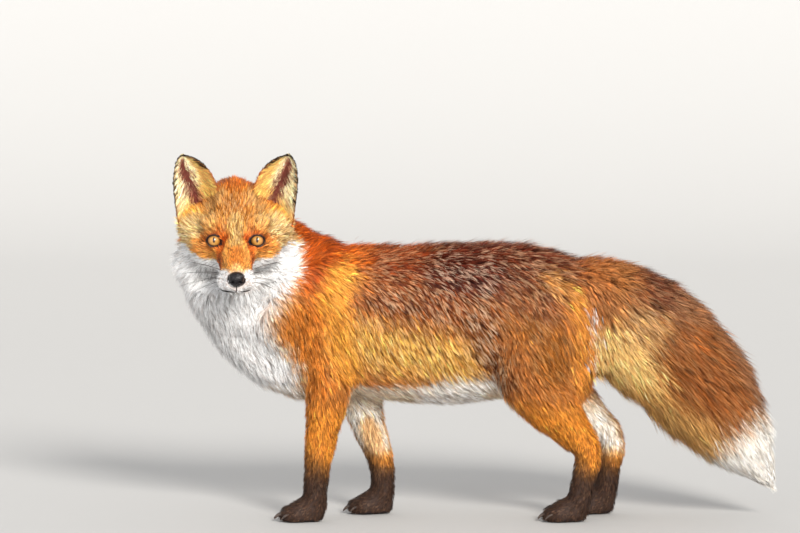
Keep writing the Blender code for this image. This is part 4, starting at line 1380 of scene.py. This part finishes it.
def coat_piece(name, blades, shades, spots, facing):
    """A quad from root to bend and a triangle to the tip for every blade, with colours and map."""
    count = len(blades)
    base = np.arange(count)[:, None] * 5
    loops = (base + np.array([0, 1, 2, 3, 3, 2, 4])).ravel()
    starts = (np.arange(count)[:, None] * 7 + np.array([0, 4])).ravel()
    mesh = bpy.data.meshes.new(name)
    mesh.vertices.add(count * 5)
    mesh.vertices.foreach_set("co", blades.astype(np.float32).ravel())
    mesh.loops.add(len(loops))
    mesh.loops.foreach_set("vertex_index", loops.astype(np.int32))
    mesh.polygons.add(count * 2)
    mesh.polygons.foreach_set("loop_start", starts.astype(np.int32))
    mesh.polygons.foreach_set("use_smooth", np.full(count * 2, True))
    mesh.update(calc_edges=True)
    made = put_in_scene(name, mesh)
    made.data.materials.append(hair)
    set_colours(made, shades.reshape(-1, 4))
    mesh.normals_split_custom_set_from_vertices(facing.reshape(-1, 3).astype(np.float32))
    uv = mesh.uv_layers.new(name="OFBake")
    uv.data.foreach_set("uv", spots.reshape(-1, 2)[loops].astype(np.float32).ravel())
    return made


def coat_pieces(*sets):
    """Every eighth lock goes to the same piece."""
    lock = np.arange(len(sets[0])) // STRANDS
    return [coat_piece(f"coat_{part + 1}", *(rows[lock % COAT_PIECES == part] for rows in sets))
            for part in range(COAT_PIECES)]


coat = coat_pieces(*(np.concatenate(rows) for rows in zip(body_coat, *ear_coats)))
print("triangles of the coat's pieces", [3 * len(part.data.polygons) // 2 for part in coat])

# %% [markdown]
# A fox's eye is a dark-rimmed ball with an amber iris and an upright slit. The ball bulges a little at
# the cornea, and a clear gloss over the painted iris gives the wet look.

# %% Eyes
IRIS = 0.775  # radius of the iris as a share of the ball's
CORNEA, CORNEA_WIDE = 0.055, 0.80  # height and breadth of the bulge
SLIT_WIDE, SLIT_HIGH, SLIT_RISE = 0.13, 0.36, 0.08  # half width, half height and middle of the slit


def eyeballs():
    """Spheres around the line of sight; the radius grows by c (1 - (x/w)^2)^2 inside the cornea."""
    turned = np.stack([SIGHT_ASIDE, SIGHT_UP, SIGHT])
    places, faces = ball((0, 0, 0), 1.0, 40, 64)
    away = np.hypot(places[:, 0], places[:, 1])
    bulge = np.where(places[:, 2] > 0, np.clip(1 - (away / CORNEA_WIDE) ** 2, 0, 1) ** 2, 0)
    shape = places * (1 + CORNEA * bulge[:, None])
    both = np.concatenate([EYES[side] + EYE_RADIUS * shape @ turned for side in EYES])
    made = piece("eyes", both, np.concatenate([faces, faces + len(places)]))
    look = made.data.attributes.new("look", "FLOAT_VECTOR", "POINT")
    on_iris = [places * (side, 1, 1) for side in EYES]
    look.data.foreach_set("vector", np.concatenate(on_iris).astype(np.float32).ravel())
    return closed_outward(made)


def eye_paint():
    """Amber iris with fine rays, darker at its rim, with a painted shade of the upper lid over its top; an
    upright slit; a dark white.

    The slit is where (a / w)^2 + ((u - c) / h)^2 is below 1.
    """
    paint = new_paint("fox_eye")
    aside, up, _ = paint.parts(paint.attribute("look", 1))
    radius = (aside * aside + up * up) ** 0.5
    angle = paint.node("ShaderNodeMath", {"operation": "ARCTAN2"}, up, aside)
    polar = paint.node("ShaderNodeCombineXYZ", None, angle * 3.0, radius * 2.0, 0.0)
    rays = paint.noise(0.16, 4, polar, 0.6)
    amber = paint.blend(paint.ramp(rays, 0.35, 0.66), linear((160, 106, 40)), linear((208, 158, 82)))
    amber = paint.blend(paint.ramp(radius, 0.40, IRIS), amber, linear((140, 84, 30)))
    amber = paint.blend(paint.ramp(radius, 0.16, 0.34, 0.45, 0.0), amber, linear((150, 92, 40)))
    # painted shade: the iris darkens towards its top, as if shaded by the upper lid and brow
    amber = paint.blend(paint.ramp(up, 0.15, 0.70, 0.0, 0.55), amber, linear((84, 48, 24)))
    wide, high = aside / SLIT_WIDE, (up - SLIT_RISE) / SLIT_HIGH
    slit = wide * wide + high * high
    iris = paint.blend(paint.ramp(slit, 0.75, 1.35, 1.0, 0.0), amber, linear((24, 12, 10)))
    rim = paint.ramp(radius, IRIS - 0.055, IRIS + 0.01)
    return paint.finish(paint.blend(rim, iris, linear((34, 20, 20))), 0.35, Coat_Weight=1.0,
                        Coat_Roughness=0.02, Coat_IOR=1.45, Specular_IOR_Level=0.3)


eyes = eyeballs()
eyes.data.materials.append(eye_paint())
print("eyes", len(eyes.data.polygons), "faces")

# %% [markdown]
# The lids' edges are thick, black and wet. Each is a tube that runs round the opening on the ball's
# surface, thickest at the inner corner, where a bead of flesh lies.

# %% Tubes and joined pieces
def tube(path, radius, columns=8, closed=True):
    """Rings around a path: place + r (cos normal + sin binormal), with the tangent from neighbours."""
    if closed:
        tangent = unit(np.roll(path, -1, 0) - np.roll(path, 1, 0))
    else:
        tangent = unit(np.gradient(path, axis=0))
    hint = unit(path - path.mean(0) + 1e-6) if closed else np.broadcast_to((0.3, 0.2, 1.0), path.shape)
    normal = unit(hint - (hint * tangent).sum(1, keepdims=True) * tangent)
    binormal = np.cross(tangent, normal)
    turn = np.linspace(0, 2 * np.pi, columns, endpoint=False)[None, :, None]
    rings = path[:, None] + np.broadcast_to(radius, len(path))[:, None, None] * (
        np.cos(turn) * normal[:, None] + np.sin(turn) * binormal[:, None])
    faces = grid_faces(len(path), columns)
    if closed:
        last, column = (len(path) - 1) * columns, np.arange(columns)
        faces = np.concatenate([faces, np.stack([last + column, column, (column + 1) % columns,
                                                 last + (column + 1) % columns], 1)])
    return rings.reshape(-1, 3), faces


def joined(name, shapes, material):
    """One piece from several pairs of places and quads, closed and turned outward."""
    shift = np.cumsum([0, *(len(places) for places, _ in shapes)])
    made = piece(name, np.concatenate([places for places, _ in shapes]),
                 np.concatenate([faces + start for (_, faces), start in zip(shapes, shift)]))
    made.data.materials.append(material)
    print(name, len(made.data.polygons), "faces")
    return closed_outward(made)

# %% Lids and tear corners
def on_ball(aside, up, radius):
    """How far out the ball's surface lies: sqrt(r^2 - a^2 - u^2), and at least 0.42 r."""
    return np.sqrt(np.maximum(radius ** 2 - aside ** 2 - up ** 2, (0.42 * radius) ** 2))


LID_THICK, UPPER_MORE, INNER_MORE = 0.00062, 0.0003, 0.0007  # radius of the tube, more above and inward


def lid_rim(side):
    """A tube along the almond, just outside the ball."""
    aside, up = almond(0.0003)
    inner = np.clip(-aside / LID_INNER, 0, 1)
    path = around_eye(side, aside, up, on_ball(aside, up, EYE_RADIUS + 0.0007) - 0.0004 * inner)
    return tube(path, LID_THICK + UPPER_MORE * (up > 0) + INNER_MORE * inner ** 4)


def bead(side):
    """A small ball of flesh in the inner corner."""
    aside, up = np.array([-LID_INNER * 0.86]), np.array([-TEAR_DROP * 0.66])
    return ball(around_eye(side, aside, up, on_ball(aside, up, EYE_RADIUS + 0.0001))[0], 0.0013, 10, 14)


wet_black = mottled("wet_black_skin", 0.0008, (14, 9, 9), (32, 21, 20), 0.42, grain=(0.0006, 0.0002),
                    Specular_IOR_Level=0.25)
tear_flesh = mottled("tear_corner", 0.001, (58, 38, 40), (96, 66, 68), 0.15)
lids = joined("eyelids", [lid_rim(side) for side in EYES], wet_black)
tears = joined("tear_corners", [bead(side) for side in EYES], tear_flesh)

# %% [markdown]
# The nose pad is a damp, pebbled wedge with comma-shaped nostrils and a groove down its middle. It could
# be sculpted, but each hollow is also a bell-shaped bump, exp(-(x / w)^2), taken from a ball.

# %% Nose pad
NOSE_SIZE = (0.0104, 0.0106, 0.0098)  # half its depth, width and height
PEBBLE = 0.0011


def nose_shape():
    """A ball, flattened in front, less bells for nostrils, their slits and the groove, along forward."""
    one, faces = ball((0, 0, 0), 1.0, 56, 84)
    ahead, aside, up = one[:, 2], one[:, 0], one[:, 1]
    wide = np.abs(aside)
    front = ramp(ahead, 0.0, 0.5)
    squared = 1 + 0.07 * np.sin(2 * np.arctan2(wide, up + 1e-9)) ** 2 * ramp(np.hypot(aside, up), 0.3, 0.9)
    lower = 1 - 0.10 * ramp(-up, 0.0, 0.9)
    hollow = np.exp(-((wide - 0.46) / 0.17) ** 2 - ((up + 0.08 + 0.25 * (wide - 0.46)) / 0.15) ** 2)
    slit = np.exp(-((up + 0.20 + 0.30 * (wide - 0.7)) / 0.07) ** 2) * ramp(wide, 0.45, 0.62)
    groove = np.exp(-(aside / 0.055) ** 2) * ramp(-up, -0.25, 0.25)
    wing = np.exp(-((wide - 0.60) / 0.25) ** 2 - ((up - 0.16) / 0.22) ** 2)
    pushed = 0.46 * hollow + 0.26 * slit + 0.10 * groove - 0.05 * wing
    reach = ahead * (1 - 0.10 * front) - front * pushed
    local = np.stack([reach, aside * squared * lower, up * squared], 1) * NOSE_SIZE
    return NOSE + local @ FACE, faces


def nose_paint():
    """Black leather in pebbles: cells, lower towards their edges, and darker there by a painted shade in the
    grooves between them.
    """
    paint = new_paint("nose_leather_wet")
    edge = paint.node("ShaderNodeTexVoronoi", {"feature": "DISTANCE_TO_EDGE"}, Vector=paint.places(),
                      Scale=1 / PEBBLE)
    # painted shade: darker in the grooves at the pebbles' edges, lighter on their tops
    tone = paint.blend(paint.ramp(edge, 0.0, 0.25), linear((10, 7, 9)), linear((26, 20, 24)))
    return paint.finish(tone, 0.22, Normal=paint.bump(paint.ramp(edge, 0.0, 0.3), 0.00014),
                        Specular_IOR_Level=0.3)


nose = joined("nose", [nose_shape()], nose_paint())

# %% [markdown]
# Lips, whiskers and claws are set on the skin itself, and rays find where it is: a ray that starts
# inside the head leaves it at the place that the detail needs. The mouth is closed, so the lips are one
# dark line around the muzzle, with a short groove up to the nose.

# %% Lips
LIPS_UP = -0.0343
LIPS_MIDDLE = np.array([0.036, 0.0, LIPS_UP])
LIPS_THICK, GROOVE_THICK = 0.0011, 0.0007


def hit(start, way):
    """Where a ray from inside the head leaves the skin, and the skin's normal there."""
    found, place, normal, _ = skin.ray_cast(Vector(start), Vector(way))
    return np.array(place), np.array(normal), found


def lip_line():
    """The muzzle's section at the lips' height, from corner to corner, as a thin dark tube."""
    path = []
    for turn in np.radians(np.linspace(-128, 128, 61)):
        way = math.cos(turn) * FORWARD + math.sin(turn) * ASIDE
        rise = 0.0012 * math.cos(turn * 2) - 0.0012
        place, normal, found = hit(face(LIPS_MIDDLE + (0, 0, rise)), way)
        if found:
            path.append(place + (0.0004 + 0.0013 * max(0.0, math.cos(0.8 * turn))) * normal)
    thin = LIPS_THICK * (1 - 0.6 * np.abs(np.linspace(-1, 1, len(path))) ** 3)
    return tube(np.array(path), thin, closed=False)


def philtrum():
    """A short dark groove from the nose pad down to the lips."""
    path = []
    for up in np.linspace(-0.019, LIPS_UP, 9):
        place, normal, found = hit(face((0.040, 0, up)), FORWARD)
        if found:
            path.append(place + 0.0001 * normal)
    return tube(np.array(path), GROOVE_THICK, closed=False)


lips = joined("lips", [lip_line(), philtrum()], wet_black)

# %% [markdown]
# Whiskers are stiff hairs that grow in four rows on each lip. A fox's are black, and each is thick
# enough to be a tube of its own that tapers and sags a little.

# %% Whiskers
WHISKERS = [  # forward, up, length, lean back, lean up
    (0.060, -0.0150, 0.034, 0.55, 0.10),
    (0.060, -0.0205, 0.038, 0.45, -0.15),
    (0.060, -0.0260, 0.034, 0.40, -0.45),
    (0.053, -0.0135, 0.050, 0.60, 0.15),
    (0.053, -0.0190, 0.060, 0.55, -0.10),
    (0.053, -0.0245, 0.058, 0.50, -0.35),
    (0.053, -0.0290, 0.045, 0.45, -0.60),
    (0.045, -0.0165, 0.066, 0.70, 0.05),
    (0.045, -0.0215, 0.074, 0.65, -0.20),
    (0.045, -0.0265, 0.070, 0.60, -0.45),
    (0.037, -0.0200, 0.064, 0.85, -0.05),
    (0.037, -0.0250, 0.072, 0.80, -0.30),
    (0.037, -0.0295, 0.060, 0.75, -0.55),
]
BROW_HAIRS = [  # forward, aside, length, lean back, lean up
    (-0.030, 0.0240, 0.026, 0.35, 0.9),
    (-0.032, 0.0285, 0.030, 0.35, 0.8),
]
WHISKER_THICK, WHISKER_TIP = 0.00020, 0.00004


def whisker(side, root, length, back, lift):
    """A tapering tube of nine rings along root + way s + sag s^2."""
    share = np.linspace(0, 1, 9)[:, None]
    way = unit(side * ASIDE - back * FORWARD + lift * UP)
    sag = (-0.20 * UP - 0.12 * FORWARD) * length
    path = root - 0.001 * way + way * length * share + sag * share ** 2
    return tube(path, WHISKER_THICK * (1 - 0.8 * share[:, 0]) + WHISKER_TIP, 5, closed=False)


def whiskers():
    """Rows of whiskers on the lips and two long hairs over each eye."""
    made = []
    for side in EYES:
        for ahead, up, length, back, lift in WHISKERS:
            place, _, _ = hit(face((ahead, 0.004 * side, up)), side * ASIDE)
            made.append(whisker(side, place, length * CHANCE.uniform(0.9, 1.1), back, lift))
        for ahead, aside, length, back, lift in BROW_HAIRS:
            place, _, _ = hit(face((ahead, side * aside, 0.0)), UP + 0.4 * FORWARD)
            made.append(whisker(side, place, length, back, lift))
    return made


whisker_black = mottled("whisker_black", 0.004, (24, 18, 16), (60, 46, 38), 0.4)
feelers = joined("whiskers", whiskers(), whisker_black)

# %% [markdown]
# Four claws stand out of the fur of each foot. They don't draw in as a cat's do: blunt, curved cones of
# dark horn, one in front of each toe.

# %% Claws
HEEL_BACK, PAW_REACH = 0.070, 0.060  # from the paw's front to the heel, from the heel to the toes
TOES = ((-0.36, 0.66), (-0.13, 0.80), (0.13, 0.80), (0.36, 0.66))  # shares of the width and the reach
TOE_HEIGHT, CLAW_THICK, CLAW_ARCH = 0.010, 0.0018, 0.0016
CLAW_ROOT, CLAW_TIP = (0.0025, 0, 0.0012), (-0.0085, 0, -0.0062)  # from the toe's front


def claw(root, tip, radius):
    """Rings on the line from root to tip, raised by sin(pi s), narrowing as sqrt(1 - s^1.6)."""
    share = np.linspace(0, 0.995, 12)[:, None]
    path = root + (tip - root) * share + np.array((0, 0, CLAW_ARCH)) * np.sin(np.pi * share)
    return tube(path, radius * np.sqrt(1 - share[:, 0] ** 1.6), 12, closed=False)


def claws():
    """One claw on the front of each toe."""
    made = []
    for paw in both_sides("forepaw", "hindpaw"):
        low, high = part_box(paw)
        heel, centre, wide = low.x + HEEL_BACK, (low.y + high.y) / 2, high.y - low.y
        for spread, reach in TOES:
            toe = np.array((heel - reach * PAW_REACH, centre + spread * wide, TOE_HEIGHT))
            front, _, found = hit(toe, (-1, 0, 0))
            front = front if found else toe
            made.append(claw(front + CLAW_ROOT, front + CLAW_TIP, CLAW_THICK))
    return made


claw_horn = mottled("claw_horn_dark", 0.0012, (38, 30, 28), (84, 68, 58), 0.35)
nails = joined("claws", claws(), claw_horn)

# %% [markdown]
# The camera stands nine metres away, a little above the animal and square to its side, with a long
# lens, as a wildlife photographer's would. From so far away the legs and the back keep their true
# proportions.

# %% Camera
VIEW_WIDE = 1.0811  # metres across the view at the animal's distance
CAMERA_FAR = 9.0
CAMERA_RISE = math.radians(5)
AIM_AHEAD, AIM_RIGHT, AIM_HEIGHT = 0.0998, 0.0064, 0.348  # ahead and right of the model's middle
AIM = Vector(((cad_low.x + cad_high.x) / 2 - AIM_AHEAD, (cad_low.y + cad_high.y) / 2 - AIM_RIGHT, AIM_HEIGHT))

lens = bpy.data.cameras.new("camera")
camera = put_in_scene("camera", lens)
back = Vector((0, -math.cos(CAMERA_RISE), math.sin(CAMERA_RISE)))
camera.location = AIM + CAMERA_FAR * back
camera.rotation_euler = back.to_track_quat("Z", "Y").to_euler()
lens.lens = lens.sensor_width * CAMERA_FAR / VIEW_WIDE
lens.clip_end = 60
SCENE.camera = camera
print("lens", round(lens.lens), "mm, camera", [round(v, 2) for v in camera.location])

# %% [markdown]
# Fur shows its form by light from one side, so a warm key comes from the front right and above. A weak
# fill opens the shade on the chest, and a weak rim light parts the back from the background. Broad
# lamps, given by their angle, keep the shadows soft. The world adds the even light of a pale room.

# %% Light
SCENE.view_settings.view_transform = "Standard"
SUNS = [  # name, direction it comes from, breadth in degrees, strength, colour
    ("key", (0.30, -0.88, 0.44), 16, 4.55, (1.0, 0.965, 0.91)),
    ("fill", (-0.5, -1.0, 0.12), 45, 0.85, (0.96, 0.98, 1.0)),
    ("rim", (0.3, 1.0, 0.9), 25, 0.8, (1.0, 0.98, 0.95)),
]


def sun(name, source, breadth, strength, colour):
    """A sun that shines from a direction; where it stands doesn't matter to it."""
    lamp = bpy.data.lights.new(name, "SUN")
    lamp.angle = math.radians(breadth)
    lamp.energy = strength
    lamp.color = colour
    made = put_in_scene(name, lamp)
    made.location = AIM + 3 * Vector(source).normalized()
    made.rotation_euler = Vector(source).to_track_quat("Z", "Y").to_euler()


for row in SUNS:
    sun(*row)
world = bpy.data.worlds.new("studio")
world.use_nodes = True
sky = world.node_tree.nodes["Background"].inputs
sky["Color"].default_value = (0.97, 0.98, 1.0, 1)
sky["Strength"].default_value = 0.80
SCENE.world = world
print("suns", len(SUNS))

# %% [markdown]
# The floor is a sweep of pale paper: level under the animal, then curving up behind it without an edge,
# so that floor and background are one plain surface. The back of the paper can be looked through, so
# that the curve doesn't hide the animal from a camera that goes round behind it.

# %% Floor
SWEEP = 3.0  # radius of the curve
LEVEL_FROM, LEVEL_TO = -12, 4  # the level floor, from in front of the animal to behind it
curve = np.linspace(0, np.pi / 2, 16)[1:]
run = np.concatenate([np.linspace(LEVEL_FROM, LEVEL_TO, 12), LEVEL_TO + SWEEP * np.sin(curve),
                      np.full(3, LEVEL_TO + SWEEP)])
rise = np.concatenate([np.zeros(12), SWEEP * (1 - np.cos(curve)), [5, 7, 10]])
aside = np.linspace(-14, 14, 5)
grid = np.stack(np.broadcast_arrays(aside[None, :], run[:, None], rise[:, None]), -1)
floor = piece("studio_floor", grid.reshape(-1, 3), grid_faces(len(run), len(aside), False)[:, ::-1])
paper = new_paint("studio_paper")
from_behind = paper.node("ShaderNodeNewGeometry", out=6)  # 1 on the back of a face, 0 in front
floor.data.materials.append(paper.finish((0.46, 0.456, 0.449, 1), 0.9, Alpha=1 - from_behind))
print("floor", len(floor.data.polygons), "faces")

# %% [markdown]
# At the end every piece is tied to the one rigid body of the frame, and the frame's solids that it stands for
# are hidden.
# The skin and the coat stand for all the flesh, the eyes and the nose for their own solids. Lids,
# lips, whiskers and claws are details that have no solid of their own.

# %% Ties to the frame
PIECES = [  # piece, solids that it stands for, slot of the finish
    (skin, (*FLESH, *EARS), "russet_coat"), *((part, FLESH, "russet_coat") for part in coat),
    (eyes, ("eye_left", "eye_right"), "eye_amber"), (nose, ("nose_pad",), "nose_leather"),
    (lids, (), "nose_leather"), (tears, (), "nose_leather"), (lips, (), "nose_leather"),
    (feelers, (), "black_coat"), (nails, (), "claw_horn"),
]
for made, nodes, slot in PIECES:
    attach(made, "root")
    if nodes:
        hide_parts(*nodes)
